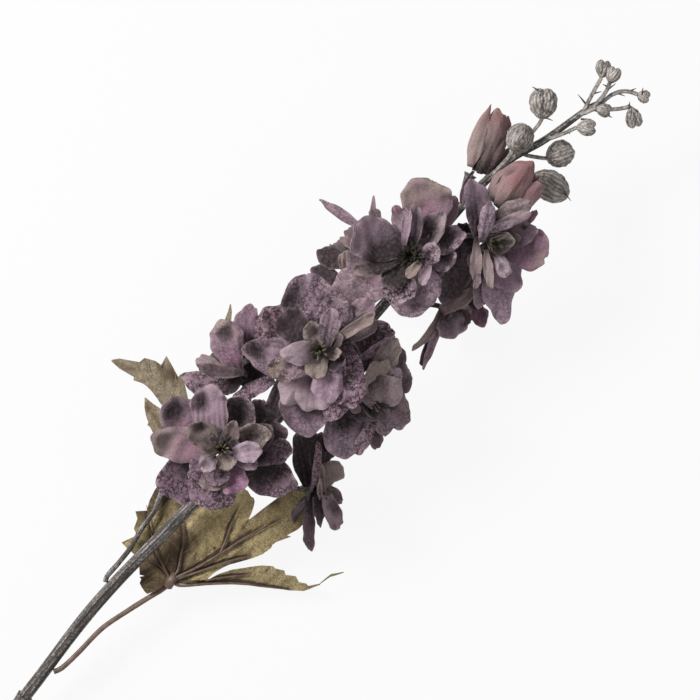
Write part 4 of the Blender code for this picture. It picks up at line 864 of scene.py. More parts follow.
def unit(vector):
    """The vector, one long."""
    return vector / np.linalg.norm(vector)


def bloom_axes(facing, lean):
    """A bloom's axis, and the two directions in its plane: along the stem, and across."""
    a, b = math.radians(facing), math.radians(lean)
    out = np.array([math.sin(b), math.cos(b) * math.sin(a), math.cos(b) * math.cos(a)])
    stem = np.array([1.0, 0.0, 0.0])
    along = unit(stem - out * stem.dot(out))
    return out, along, np.cross(out, along)


def spray_shift():
    """What to add, in millimetres, to a point in the stem's axes to reach the frame's: the
    mean difference between each stamen bundle's box and where its hub puts it."""
    found = []
    for name, (_, hub, facing, lean, _) in BLOOMS.items():
        low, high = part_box(name + "_centre")
        middle = (np.array(low) + np.array(high)) / 2 / MM
        found.append(middle - (np.array(hub) + CENTRE_MIDDLE * bloom_axes(facing, lean)[0]))
    return np.mean(found, axis=0)


SHIFT = spray_shift()


def off_the_floor(points):
    """Bend the points upwards near the floor, so that none passes below LIFT: a height h
    above LIFT of less than SOFT becomes SOFT * exp((h - SOFT) / SOFT)."""
    height = points[..., 2] + SHIFT[2] - LIFT
    eased = np.where(height < SOFT, SOFT * np.exp(np.minimum(height - SOFT, 0) / SOFT), height)
    moved = points.copy()
    moved[..., 2] += eased - height
    return moved


# ---------------------------------------------------------------- mesh helpers

def loft_quads(rows, count):
    """Quads of a closed body from rows of rings with an even count: its sides, and a strip
    of quads across each end."""
    i, j = np.meshgrid(np.arange(rows - 1), np.arange(count), indexing="ij")
    k = (j + 1) % count
    sides = np.stack([i * count + j, i * count + k, (i + 1) * count + k, (i + 1) * count + j], -1)
    e = np.arange(count // 2 - 1)
    strip = np.stack([e, e + 1, count - 2 - e, count - 1 - e], -1)
    return np.vstack([sides.reshape(-1, 4), strip[:, ::-1], strip + (rows - 1) * count])


def outwards(points, quads):
    """Turn the quads round if they enclose a negative volume."""
    a, b, c, d = (points[quads[:, i]] for i in range(4))
    volume = sum(np.einsum("ij,ij->i", a, np.cross(*edge)).sum() for edge in ((b, c), (c, d)))
    return quads if volume > 0 else quads[:, ::-1]


class Heap:
    """Closed bodies gathered into one mesh, each with its own values per point."""

    def __init__(self):
        self.points, self.quads, self.values, self.count = [], [], {}, 0

    def put(self, rings, **values):
        """Add a body from an array of rings (rows, count, 3) in millimetres. A body with a
        wash also gets its grain: where a point is across and along the body, in centimetres."""
        rows, count = rings.shape[:2]
        if "wash" in values:
            middle = rings.mean(axis=1)
            along = np.concatenate([[0], np.cumsum(np.linalg.norm(np.diff(middle, axis=0), axis=1))])
            turn = 2 * math.pi * np.arange(count) / count
            radius = np.linalg.norm(rings - middle[:, None], axis=-1)
            values["grain"] = np.stack([radius * np.cos(turn), radius * np.sin(turn),
                                        along[:, None] + 0 * radius], -1) / 10
        points = rings.reshape(-1, 3)
        self.quads.append(outwards(points, loft_quads(rows, count)) + self.count)
        self.points.append(points)
        self.count += len(points)
        for key, value in values.items():
            self.values.setdefault(key, []).append(value.reshape(len(points), -1))

    def piece(self, name, material, sharp=60):
        """Make the object: points, quads, a UV map called cloth, and the other values as
        attributes. It is shaded smooth but for bends of more than sharp degrees."""
        points = (np.vstack(self.points) + SHIFT) * MM
        quads = np.vstack(self.quads).astype(np.int32)
        mesh = bpy.data.meshes.new(name)
        mesh.vertices.add(len(points))
        mesh.vertices.foreach_set("co", points.astype(np.float32).ravel())
        mesh.loops.add(quads.size)
        mesh.loops.foreach_set("vertex_index", quads.ravel())
        mesh.polygons.add(len(quads))
        mesh.polygons.foreach_set("loop_start", np.arange(0, quads.size, 4, dtype=np.int32))
        mesh.polygons.foreach_set("loop_total", np.full(len(quads), 4, dtype=np.int32))
        mesh.update(calc_edges=True)
        for key, value in self.values.items():
            value = np.vstack(value).astype(np.float32)
            if key == "uv":
                layer = mesh.uv_layers.new(name="cloth")
                layer.data.foreach_set("uv", value[quads.ravel()].ravel())
            else:
                kind, field = {1: ("FLOAT", "value"), 3: ("FLOAT_VECTOR", "vector"),
                               4: ("FLOAT_COLOR", "color")}[value.shape[1]]
                mesh.attributes.new(key, kind, "POINT").data.foreach_set(field, value.ravel())
        mesh.validate()
        mesh.shade_smooth()
        mesh.set_sharp_from_angle(angle=math.radians(sharp))
        mesh.materials.append(finish(material))
        piece = bpy.data.objects.new(name, mesh)
        bpy.context.collection.objects.link(piece)
        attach(piece, "root")
        return piece


def smooth_path(points, per_span):
    """Points along a uniform Catmull-Rom curve through the given ones."""
    p = np.asarray(points, dtype=float)
    p = np.vstack([2 * p[0] - p[1], p, 2 * p[-1] - p[-2]])
    t = (np.arange(per_span) / per_span)[None, :, None]
    a, b, c, d = (p[i:len(p) - 3 + i, None, :] for i in range(4))
    curve = 0.5 * (2 * b + (c - a) * t + (2 * a - 5 * b + 4 * c - d) * t ** 2
                   + (3 * b - a - 3 * c + d) * t ** 3)
    return np.vstack([curve.reshape(-1, 3), p[-2:-1]])


def sides_along(path):
    """Two side vectors at each point of a path, carried along it without twisting."""
    tangents = np.gradient(path, axis=0)
    tangents /= np.linalg.norm(tangents, axis=1)[:, None]
    side = np.cross(tangents[0], (0.0, 0.0, 1.0))
    if np.linalg.norm(side) < 0.1:
        side = np.array([0.0, 1.0, 0.0])
    sides = []
    for tangent in tangents:
        side = unit(side - tangent * side.dot(tangent))
        sides.append(side)
    sides = np.array(sides)
    return sides, np.cross(sides, tangents)


def tube_rings(path, radii, count, relief=None):
    """Rings round a path: radius by row, times 1 plus a relief given for each row and turn."""
    side, up = sides_along(path)
    turn = 2 * math.pi * np.arange(count) / count
    radius = np.asarray(radii, dtype=float)[:, None] * np.ones(count)
    if relief is not None:
        radius = radius * (1 + relief)
    return path[:, None, :] + radius[..., None] * (np.cos(turn)[None, :, None] * side[:, None, :]
                                                   + np.sin(turn)[None, :, None] * up[:, None, :])


def waves(shape, seed, size):
    """Smooth random relief on a grid: the mean of five seeded sine waves, each with from 1
    to size periods along it and across it."""
    draw = np.random.default_rng(seed)
    i, j = np.meshgrid(np.linspace(0, 1, shape[0]), np.linspace(0, 1, shape[1]), indexing="ij")
    total = np.zeros(shape)
    for _ in range(5):
        fi, fj, phase = draw.uniform(1, size), draw.uniform(1, size), draw.uniform(0, 2 * math.pi)
        total += np.sin(2 * math.pi * (fi * i + fj * j) + phase)
    return total / 5


# ---------------------------------------------------------------- petals

def rumple(x, y, seed, short, long):
    """Smooth random relief over a surface: the mean of six sine waves of seeded directions,
    with wavelengths from short to long, in the units of x and y."""
    draw = np.random.default_rng(seed)
    total = np.zeros(np.shape(x))
    for _ in range(6):
        way, size, phase = draw.uniform(0, math.pi), draw.uniform(short, long), draw.uniform(0, 2 * math.pi)
        total += np.sin(2 * math.pi * (x * math.cos(way) + y * math.sin(way)) / size + phase)
    return total / 6


def petal(heap, base, tip, face, width, bow, cup, roll, paint, seed, thickness=BUD_CLOTH,
          twist=0, sweep=0, peak=.58, claw=.36, point=.5, ruffle=(1, 5), lip=1, crease=.5,
          ribs=.1, dent=None, foot=6, rose=0, spots=()):
    """One petal as a closed thin shell over a grid (across u, along v).

    Its middle line runs from base to tip, sunk along the face normal by bow * 4v(1-v) and
    swept sideways by sweep * 4v(1-v). Its half width rises as a sine to the power 1.3 from
    the claw to the widest place, then falls as (1 - t^2)^point to the tip; one side is wider
    by a drawn skew, and both wander. Across, it is an arc with the cup's angle at its edges,
    turned about the middle line by roll plus twist times v. Along the normal come pressed
    spots, ruffles that run round the rim and grow as the cube of the way to it, a rim turned
    down by lip, a crease and ribs that fade from the foot, a rumple, and two sharp folds that
    fade as exp(-distance). The outline wanders by two sines of the way round, and may have a
    dent in its tip.

    The paint lies on the front; the back is darker, partly the cloth's reverse and partly painted
    shade for the crevices it faces, and takes little of the rest. A spot adds its strength of one
    paint times exp(-1.1 d^2) at a distance of d radii; a dark spot is airbrushed print in places
    and painted shade in others, and a pressed one's dark is painted shade in its hollow. A pressed
    spot also gets a pale ring, a painted highlight round the hollow's edge. The rim is paler and
    more beige: a faded cut edge with a painted highlight along it. The foot is darker with painted
    shade where the petals meet in the bloom's hollow middle, out to the distance foot."""
    base, tip, face = (np.asarray(v, dtype=float) for v in (base, tip, face))
    draw = np.random.default_rng(seed)
    phase = draw.uniform(0, 2 * math.pi, 8)
    skew = draw.uniform(-.15, .15)
    chord = tip - base
    length = np.linalg.norm(chord)
    chord /= length
    normal = unit(face - chord * chord.dot(face))
    side = np.cross(chord, normal)

    rise = np.linspace(0, 1, PETAL_TO_WIDEST + 1)
    fall = np.linspace(0, math.radians(LAST_ROW), PETAL_TO_TIP + 1)[1:]
    v = np.concatenate([rise * peak, peak + (1 - peak) * np.sin(fall)])
    half = np.concatenate([claw + (1 - claw) * np.sin(rise * math.pi / 2) ** 1.3,
                           np.cos(fall) ** (2 * point)])
    even = np.linspace(-1, 1, PETAL_ACROSS + 1)
    uu, vv = np.meshgrid(.55 * even + .45 * np.sin(even * math.pi / 2), v)
    hh = (half * width / 2)[:, None] * np.ones_like(uu)
    x, y = uu * hh, vv * length
    widest, rest = width / 2, length * (1 - peak)
    up = (y - peak * length) / rest
    rho = np.where(up > 0, np.sqrt((x / widest) ** 2 + np.maximum(up, 0) ** 2), np.abs(uu)).clip(0, 1)
    round_rim = np.arctan2(x / widest, up)
    x = x * (1 + skew * np.sign(uu) * vv
             + .06 * np.sin(y / length * 7 + phase[0] + np.sign(uu) * phase[1]) * vv)
    wander = .045 * np.sin(3 * round_rim + phase[6]) + .03 * np.sin(7 * round_rim + phase[7])
    x = x * (1 + wander * rho ** 2)
    y = y + (.035 * length * np.sin(x / widest * 3.2 + phase[2]) + wander * rest) * vv ** 3
    if dent:
        y = y - dent[1] * np.exp(-((x / widest - dent[0]) / .18) ** 2) * vv ** 3
    ease = min(1, width / 12)

    tall, waves_round = ruffle
    lift = ease * tall * rho ** 3 * np.minimum(1, 1.6 * vv) * (
        .65 * np.sin(waves_round * round_rim + phase[3])
        + .35 * np.sin(1.9 * waves_round * round_rim + phase[4]))
    lift = lift - ease * lip * np.clip(1 - (1 - rho) * widest / 2.6, 0, 1) ** 2 * np.minimum(1, 2 * vv)
    lift = lift - crease * np.exp(-(x / 1.4) ** 2) * (1 - vv ** 2)
    lift = lift + ribs * np.sin(x * 2.7 + phase[5] + .6 * np.sin(y / 4)) * np.exp(-(vv / .8) ** 4)
    lift = lift + ease * .8 * rumple(x, y, seed + 1, 5, 14) * np.minimum(1, 2 * vv)
    for fold in range(2):
        lean, off = phase[fold] / 2 - math.pi / 2, (phase[fold + 2] / math.pi - 1) * widest
        near = np.abs(x - off - lean * (y - peak * length) / 2)
        lift = lift + ease * .45 * (-1) ** fold * np.exp(-near / .9)
    # the back: darker than the front, partly the cloth's reverse and partly painted shade for the crevices it
    # faces
    behind = (min(1, .4 + .5 * paint[DARK]), .1, .1 * paint[PINK], .15 + .3 * paint[BEIGE], .1)
    front_paint, back_paint = (np.array(values + (rose,), dtype=float)[:, None, None] + 0 * vv
                               for values in (paint, behind))
    # spots: a dark one is airbrushed print in places and painted shade in others; a pressed one's dark is
    # painted shade in its hollow
    for what, su, sv, radius, strength, *deep in spots:
        near = np.sqrt((x - su * hh) ** 2 + (y - sv * length) ** 2) / radius
        near = near * (1 + .15 * rumple(x, y, seed + 7, 4, 9))
        front_paint[what] += strength * np.exp(-near ** 2 * 1.1)
        if deep:
            lift = lift - deep[0] * np.exp(-near ** 4)
            # the pale ring: a painted highlight round the pressed hollow's edge
            ring = np.exp(-((near - 1.35) / .3) ** 2)
            front_paint[LIGHT] += .2 * ring
            front_paint[DARK] -= .15 * ring
    # the rim: paler and beiger, a faded cut edge with a painted highlight along it; the foot: painted shade
    # where the petals meet in the bloom's hollow middle
    rim = np.exp(-((1 - rho) * widest / .7) ** 2) * (.7 + .5 * np.sin(2.3 * round_rim + phase[6])).clip(0, 1)
    foot_shade = np.exp(-(y / foot) ** 2)
    for side_paint in (front_paint, back_paint):
        side_paint[LIGHT] += .45 * rim
        side_paint[BEIGE] += .35 * rim
        side_paint[DARK] += .8 * foot_shade - .4 * rim

    bend = abs(cup) * (0.45 + 0.75 * vv) + 1e-3
    across = x * np.sin(bend * uu) / (bend * np.where(uu == 0, 1, uu))
    lift = lift + (math.copysign(1, cup) * np.abs(x) * (1 - np.cos(bend * uu))
                   / (bend * np.maximum(np.abs(uu), .02)))
    turn = np.radians(roll + twist * vv)
    line = (base + y[..., None] * chord - (bow * 4 * vv * (1 - vv))[..., None] * normal
            + (sweep * 4 * vv * (1 - vv))[..., None] * side)
    s = np.cos(turn)[..., None] * side + np.sin(turn)[..., None] * normal
    n = np.cos(turn)[..., None] * normal - np.sin(turn)[..., None] * side
    front = off_the_floor(line + across[..., None] * s + lift[..., None] * n)
    out = np.cross(np.gradient(front, axis=0), np.gradient(front, axis=1))
    out /= np.maximum(np.linalg.norm(out, axis=-1), 1e-9)[..., None]
    out *= np.sign((out * n).sum(-1).mean())
    rings = np.concatenate([front, (front - out * thickness)[:, ::-1]], axis=1)
    uv = np.stack([x, y], -1) / 10 + draw.uniform(0, 40, 2)
    both = np.concatenate([front_paint, back_paint[:, :, ::-1]], axis=2).clip(0, 1)
    none = np.zeros_like(both[0])
    heap.put(rings, uv=np.concatenate([uv, uv[:, ::-1]], axis=1),
             paint=np.moveaxis(both[:MOTTLE], 0, -1).copy(),
             wear=np.stack([both[MOTTLE], both[ROSE], none, none + 1], -1))


def bloom_layer(name, rows, foot_radius, foot_height, seed):
    """All petals of one ring of a bloom, in one mesh. Where a row gives offsets from the
    hub, its petal faces the sum of half the bloom's front and .7 of up, unless it says which
    way. The others face as the bloom does, each with its foot .25 above the last one's."""
    _, hub, facing, lean, push = BLOOMS[name]
    out, along, across = bloom_axes(facing, lean)
    hub = np.array(hub, dtype=float)
    heart = hub + push
    fade = FADED.get(name, 0)
    heap = Heap()
    for i, (place, width, bow, cup, roll, paint, more) in enumerate(rows):
        more = dict(more)
        if isinstance(place[0], tuple):
            base, tip = (hub + np.array(offset, dtype=float) for offset in place)
            face = np.array(more.pop("face", .5 * out + (0, 0, .7)), dtype=float)
        else:
            bearing = math.radians(place[0])
            way = math.cos(bearing) * along + math.sin(bearing) * across
            tip = heart + place[1] * way + place[2] * out
            base = heart + foot_radius * way + (foot_height + .25 * i) * out
            face = out
        dark, light, pink, beige, mottle = paint
        paint = (max(dark - fade / 3, 0), light + fade, pink, beige, mottle + ADDED_VEINS)
        petal(heap, base, tip, face, width, bow, cup, roll, paint, seed + 10 * i,
              thickness=bpy.context.scene.spray_cloth.thickness / MM, **more)
    return heap


def build_outer_petals():
    """The outer petals of every bloom."""
    for i, name in enumerate(BLOOMS):
        heap = bloom_layer(name, OUTER[name], foot_radius=1.5, foot_height=0.0, seed=1000 * (i + 1))
        piece = heap.piece(name + "_sepals", "petal_printed_polyester")
        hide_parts(name + "_outer_petals")


def build_inner_petals():
    """The middle and inner petals of every bloom."""
    for i, name in enumerate(BLOOMS):
        heap = bloom_layer(name, INNER[name], foot_radius=1.2, foot_height=2.0,
                           seed=1000 * (i + 1) + 500)
        piece = heap.piece(name + "_bee_petals", "petal_printed_polyester")
        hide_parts(name + "_inner_petals")


def build_stamens():
    """Stamens of every bloom: bent threads that spread from the hub, each with a swollen tip.
    In a heart that is wider by w their number is multiplied by w^2.5 and their spread by
    w^.6, and their height is divided by w^.4."""
    look = bpy.context.scene.spray_stem
    radii = look.stamen_radius / MM * np.array([1, 1, .9, .9, .9, 1, 1.7, 1.6, .5])
    t = np.linspace(0, 1, len(radii))[:, None]
    tip = np.repeat(np.array([0, 0, 0, .1, .3, .8, 1, 1, 1.0])[:, None], STAMEN_ROUND, axis=1)
    for i, (name, (_, hub, facing, lean, push)) in enumerate(BLOOMS.items()):
        out, along, across = bloom_axes(facing, lean)
        heart = np.array(hub, dtype=float) + push
        draw = np.random.default_rng(70 + i)
        heap = Heap()
        wide = WIDE_HEARTS.get(name, 1)
        for _ in range(int(look.stamens * wide ** 2.5)):
            turn = draw.uniform(0, 2 * math.pi)
            spread = STAMEN_SPREAD * wide ** .6 * math.sqrt(draw.uniform(0, 1))
            tall = draw.uniform(*STAMEN_HEIGHT) / wide ** .4
            way = math.cos(turn) * along + math.sin(turn) * across
            lean_out = math.tan(math.radians(spread))
            path = heart + out * (1.5 + tall * t) + way * (0.8 * wide + lean_out * tall * .62 * t ** 1.6)
            heap.put(tube_rings(path, radii, STAMEN_ROUND), wash=tip * YELLOW_TIPS.get(name, 1))
        piece = heap.piece(name + "_stamens", "stamen_dusted_polyethylene")
        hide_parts(name + "_centre")


# ---------------------------------------------------------------- stem and stalks

def stem_at(x):
    """Centre of the stem at a station along X."""
    path = smooth_path(STEM_POINTS, 12)
    return np.array([x, np.interp(x, path[:, 0], path[:, 1]), np.interp(x, path[:, 0], path[:, 2])])


def put_ridged(heap, path, radii, count, seed, ridges=5, depth=.12, lumps=.05, pale=.7, swirl=0,
               kept=1):
    """Put in the heap a tube with soft lumps and sharp lengthwise grooves, which wander slowly
    round it and swirl by slow waves. The pale wash it keeps, times kept, is nothing in a
    groove and most on a crest."""
    turn = 2 * math.pi * np.arange(count) / count
    along = np.concatenate([[0], np.cumsum(np.linalg.norm(np.diff(path, axis=0), axis=1))])
    wander = .5 * np.sin(along / 23 + seed)[:, None] + swirl * waves((len(path), count), seed + 7, 4)
    crest = np.abs(np.sin(ridges * turn[None, :] / 2 + wander)) ** .6
    uneven = waves((len(path), count), seed + 3, 14)
    relief = depth * (crest - .5) + lumps * waves((len(path), count), seed, 9) + .3 * depth * uneven
    wash = np.clip(pale * (1.4 * crest - .35 + .5 * uneven), 0, 1)
    heap.put(tube_rings(path, radii, count, relief), wash=(wash * kept).clip(0, 1))


def build_stem():
    """The sleeve with its collar, and the thinner stem plugged into it."""
    path = smooth_path(STEM_POINTS, 14)
    low = path[path[:, 0] < COLLAR_X]
    radii = SLEEVE_RADIUS * (1 + .22 * np.exp(-((low[:, 0] - COLLAR_X) / 4) ** 2))
    heap = Heap()
    put_ridged(heap, low, radii, count=48, seed=3, ridges=10, depth=.15)
    piece = heap.piece("stem_sleeve", "stem_washed_polyethylene", GROOVED)
    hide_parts("lower_stem")

    high = path[path[:, 0] > COLLAR_X - PLUG]
    share = (high[:, 0] - COLLAR_X).clip(0) / (STEM_POINTS[-1][0] - COLLAR_X)
    radii = STEM_RADIUS + (STEM_TIP_RADIUS - STEM_RADIUS) * share ** 3
    heap = Heap()
    put_ridged(heap, high, radii, count=44, seed=5, ridges=8, depth=.16, kept=.8 + 1.2 * share[:, None] ** 2)
    for foot, tip in BRACTS:
        thorn = smooth_path([foot, (np.array(foot) + np.array(tip)) / 2 + (0, 0, .3), tip], 4)
        rings = tube_rings(thorn, np.linspace(.5, .12, len(thorn)), 8)
        heap.put(rings, wash=np.full((len(thorn), 8), .8))
    piece = heap.piece("stem_upper", "stem_washed_polyethylene", GROOVED)
    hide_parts("main_stem")


def build_stalks():
    """The blooms' stalks, each flared into a calyx, and the leaves' stalks."""
    for i, (name, (station, hub, facing, lean, _)) in enumerate(BLOOMS.items()):
        out = bloom_axes(facing, lean)[0]
        root, hub = stem_at(station), np.array(hub, dtype=float)
        away = unit((hub - root) * (0, 1, 1))
        neck = hub - out * 6
        bend = root + away * 5.5
        path = smooth_path([root + away * 1.5, bend, .5 * (bend + neck), neck, hub - out * 2.5,
                            hub - out * .2], 5)
        t = np.linspace(0, 1, len(path))
        radii = 1.15 + 3.2 * np.exp(-((1 - t) / .13) ** 2)
        heap = Heap()
        put_ridged(heap, path, radii, count=28, seed=20 + i, ridges=6)
        piece = heap.piece(name + "_pedicel", "stem_washed_polyethylene", GROOVED)
        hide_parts(name + "_stalk")
    for side, leaf in LEAVES.items():
        path = smooth_path(leaf["stalk"] + [leaf["foot"]], 5)
        t = np.linspace(0, 1, len(path))
        heap = Heap()
        put_ridged(heap, path, 1.15 + .35 * t ** 6, count=24, seed=40, ridges=4, depth=.18)
        piece = heap.piece("petiole_" + side, leaf["stalk_material"], GROOVED)
        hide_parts("leaf_stalk_" + side)


def build_opening_buds():
    """Each opening bud: a flared stalk, and rose-tipped petals wrapped round dark ones."""
    for i, (name, rows) in enumerate(OPENING_BUDS.items()):
        path = smooth_path(OPENING_STALKS[name], 6)
        t = np.linspace(0, 1, len(path))
        heap = Heap()
        put_ridged(heap, path, 1.1 + 1.9 * t ** 5, count=18, seed=60 + i)
        piece = heap.piece(name + "_pedicel", "stem_washed_polyethylene", GROOVED)
        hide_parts(name + "_stalk")
        heap = Heap()
        for k, (*row, more) in enumerate(rows):
            petal(heap, *row, 3000 + 100 * i + k, **more)
        piece = heap.piece(name + "_wrapped_petals", "petal_printed_polyester")
        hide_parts(name + "_petals")


def build_closed_buds():
    """Each closed bud on its stalk: fat ribbed lobes pressed together, tips parting.

    A lobe's middle runs from the bud's foot to its tip. At a share t of the way it is moved
    outwards by .42 of the bud's radius times sin(pi t (1 - part/2)), so that the tips part,
    and its own radius is .66 of the bud's, or .64 for every other lobe, times
    sin(pi t^fat)^.55. Its ribs are the stem's ridges, but finer."""
    for i, (name, (stalk, tip, radius, lobes, first, part, fat)) in enumerate(CLOSED_BUDS.items()):
        path = smooth_path([stem_at(stalk[0][0] - 1.5)] + stalk, 6)
        foot, tip = path[-1], np.array(tip, dtype=float)
        heap = Heap()
        put_ridged(heap, path, np.full(len(path), .85 + .006 * i), count=18, seed=80 + i, ridges=3,
                   depth=.18, pale=1)
        way = tip - foot
        side = unit(np.cross(way, (0, 0, 1.0)))
        over = unit(np.cross(side, way))
        t = (1 - np.cos(math.pi * np.linspace(.02, .985, 30))) / 2
        for k in range(lobes):
            turn = math.radians(first) + 2 * math.pi * k / lobes
            out = side * math.cos(turn) + over * math.sin(turn)
            lift = .42 * radius * np.sin(math.pi * t * (1 - part / 2))
            line = foot - way * .02 + way * t[:, None] + out * lift[:, None]
            radii = (.66 - .02 * (k % 2)) * radius * np.sin(math.pi * t ** fat) ** .55
            ridges, swirl = (14, 2.2) if radius > LARGE_BUD else (9, 1.6)
            put_ridged(heap, line, radii, count=6 * ridges + 6, seed=90 + 7 * i + k, ridges=ridges,
                       depth=.11, lumps=.14, pale=.95, swirl=swirl)
        piece = heap.piece(name + "_moulded", "bud_washed_polyethylene", GROOVED)
        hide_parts(name)


# ---------------------------------------------------------------- leaves

def leaf_sheet(heap, near, far, ribs, seed, puff=1.6, grey=0, folds=1):
    """A blade as a closed thin shell, ruled between two edges with the same number of corners.

    Its height is the ruled one, plus puff * (1 - exp(-(d/5)^2)) at a distance d from the
    nearest rib, so it swells between ribs, plus low waves in step with the side veins, plus a
    slow rumple that grows to the far edge. Left of each rib lies a sunk fold, broadest halfway
    along it, with a scalloped edge, darkened with painted shade as well as print. The veins
    attribute holds where along the nearest rib a point's side vein leaves it and how far from the
    rib the point is, in centimetres, and the fold; a second attribute holds how brown and how grey
    the print is there, its brown also a painted shadow of the stem on the right leaf."""
    draw = np.random.default_rng(seed)
    near, far = (np.array(edge, dtype=float) for edge in (near, far))
    corner = np.arange(len(near))
    t = np.linspace(0, len(near) - 1, LEAF_ALONG * (len(near) - 1) + 1)
    a, b = (np.stack([np.interp(t, corner, edge[:, k]) for k in range(3)], -1)[:, None]
            for edge in (near, far))
    u = np.linspace(0, 1, LEAF_ACROSS + 1)[None, :, None]
    top = a * (1 - u) + b * u
    x, y = top[..., 0], top[..., 1]
    away, along, fold = np.full(x.shape, 99.0), np.zeros(x.shape), np.zeros(x.shape)
    for points, radius in ribs:
        rib = smooth_path(points, 10)
        apart = np.hypot(x[..., None] - rib[:, 0], y[..., None] - rib[:, 1])
        nearest = apart.argmin(-1)
        closer = apart.min(-1) < away
        steps = np.concatenate([[0], np.cumsum(np.linalg.norm(np.diff(rib, axis=0), axis=1))])
        way = np.gradient(rib, axis=0)[nearest]
        left = way[..., 0] * (y - rib[nearest, 1]) > way[..., 1] * (x - rib[nearest, 0])
        share = steps[nearest] / steps[-1]
        broad = (1.9 * radius * np.sin(math.pi * share.clip(.02, .98)) ** .6
                 * (1 + .14 * np.sin(steps[nearest] * 1.1)))
        # the fold's dark is partly print and partly painted shade in the sunk fold
        fold = np.maximum(fold, folds * left * ((broad - apart.min(-1)) / .4 + .5).clip(0, 1))
        away, along = np.where(closer, apart.min(-1), away), np.where(closer, steps[nearest], along)
    slanted = along - .8 * away
    top[..., 2] += puff * (1 - np.exp(-(away / 5) ** 2)) - .5
    top[..., 2] += .35 * np.sin(2 * math.pi * slanted / SIDE_VEINS) * np.clip(away / 4, 0, 1)
    top[..., 2] += .8 * rumple(x, y, seed, 14, 30) * (.3 + .7 * u[..., 0]) - .5 * fold
    top = off_the_floor(top)
    rear = top - np.array([0, 0, bpy.context.scene.spray_leaf.thickness / MM])
    veins = np.stack([slanted / 10, away / 10, fold, along * 0 + 1], -1)
    uv = np.stack([x, y], -1) / 10 + draw.uniform(0, 40, 2)
    # browner beside the ribs and near the left leaf's foot; on the right leaf, browner down beside
    # the stem as a painted shadow of the stem
    brown = (.3 * np.exp(-(away / 1.6) ** 2) + .5 * rumple(x, y, seed + 5, 12, 40)
             + .55 * ((135 - x + y) / 45).clip(0, 1) * (y < 0) + .5 * ((44 - y) / 14).clip(0, 1) * (y > 10))
    wear = np.stack([brown, grey + 0 * x, 0 * x, 0 * x + 1], -1)
    heap.put(np.concatenate([top, rear[:, ::-1]], axis=1),
             **{key: np.concatenate([value, value[:, ::-1]], axis=1)
                for key, value in (("uv", uv), ("wear", wear), ("veins", veins))})


def fan_points(foot, rows, height):
    """Points round a foot, from rows of a bearing and a reach: each is height above it, less
    3% of its reach."""
    rows = np.array(rows, dtype=float)
    bearing, reach = np.radians(rows[:, 0]), rows[:, 1]
    return foot + np.stack([reach * np.cos(bearing), reach * np.sin(bearing), height - .03 * reach], -1)


def build_leaves():
    """Both palmate leaves: a blade of sheets, and ribs moulded on to it."""
    for k, (name, leaf) in enumerate(LEAVES.items()):
        blade, veins = Heap(), Heap()
        foot = np.array(leaf["foot"], dtype=float)
        ribs = leaf["ribs"] + [(fan_points(foot, rows, .3), radius) for rows, radius in leaf["fan_ribs"]]
        if leaf["fan"]:
            far = fan_points(foot, leaf["fan"], -.6)
            near = foot + .04 * (far - foot) - np.array([0, 0, .6])
            leaf_sheet(blade, near, far, ribs, 500 + 10 * k)
        for i, (near, far) in enumerate(leaf["sheets"]):
            leaf_sheet(blade, near, far, ribs, 520 + 10 * k + i, puff=1.0, grey=leaf["grey"],
                       folds=leaf["folds"])
        for points, radius in ribs:
            path = smooth_path(points, 8)
            t = np.linspace(0, 1, len(path))
            path[:, 2] -= leaf["sunk"]
            veins.put(off_the_floor(tube_rings(path, .62 * radius * (1 - t) ** .7 + .15, 12)))
        knot = smooth_path([foot - (3.2, 1.2, 1.4), foot - (1, .3, .4), foot + (1, .2, 0),
                            foot + (3.4, .6, -.8)], 6)
        swell = KNOT_RADIUS * (.55 + .45 * np.sin(math.pi * np.linspace(.1, .95, len(knot))))
        veins.put(off_the_floor(tube_rings(knot, swell, 20, .3 * waves((len(knot), 20), 700 + k, 4))))
        piece = blade.piece("leaf_cloth_" + name, "leaf_printed_polyester")
        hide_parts("leaf_blade_" + name)
        piece = veins.piece("leaf_veins_" + name, "rib_moulded_polyethylene")
        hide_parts("leaf_ribs_" + name)


# ---------------------------------------------------------------- stage

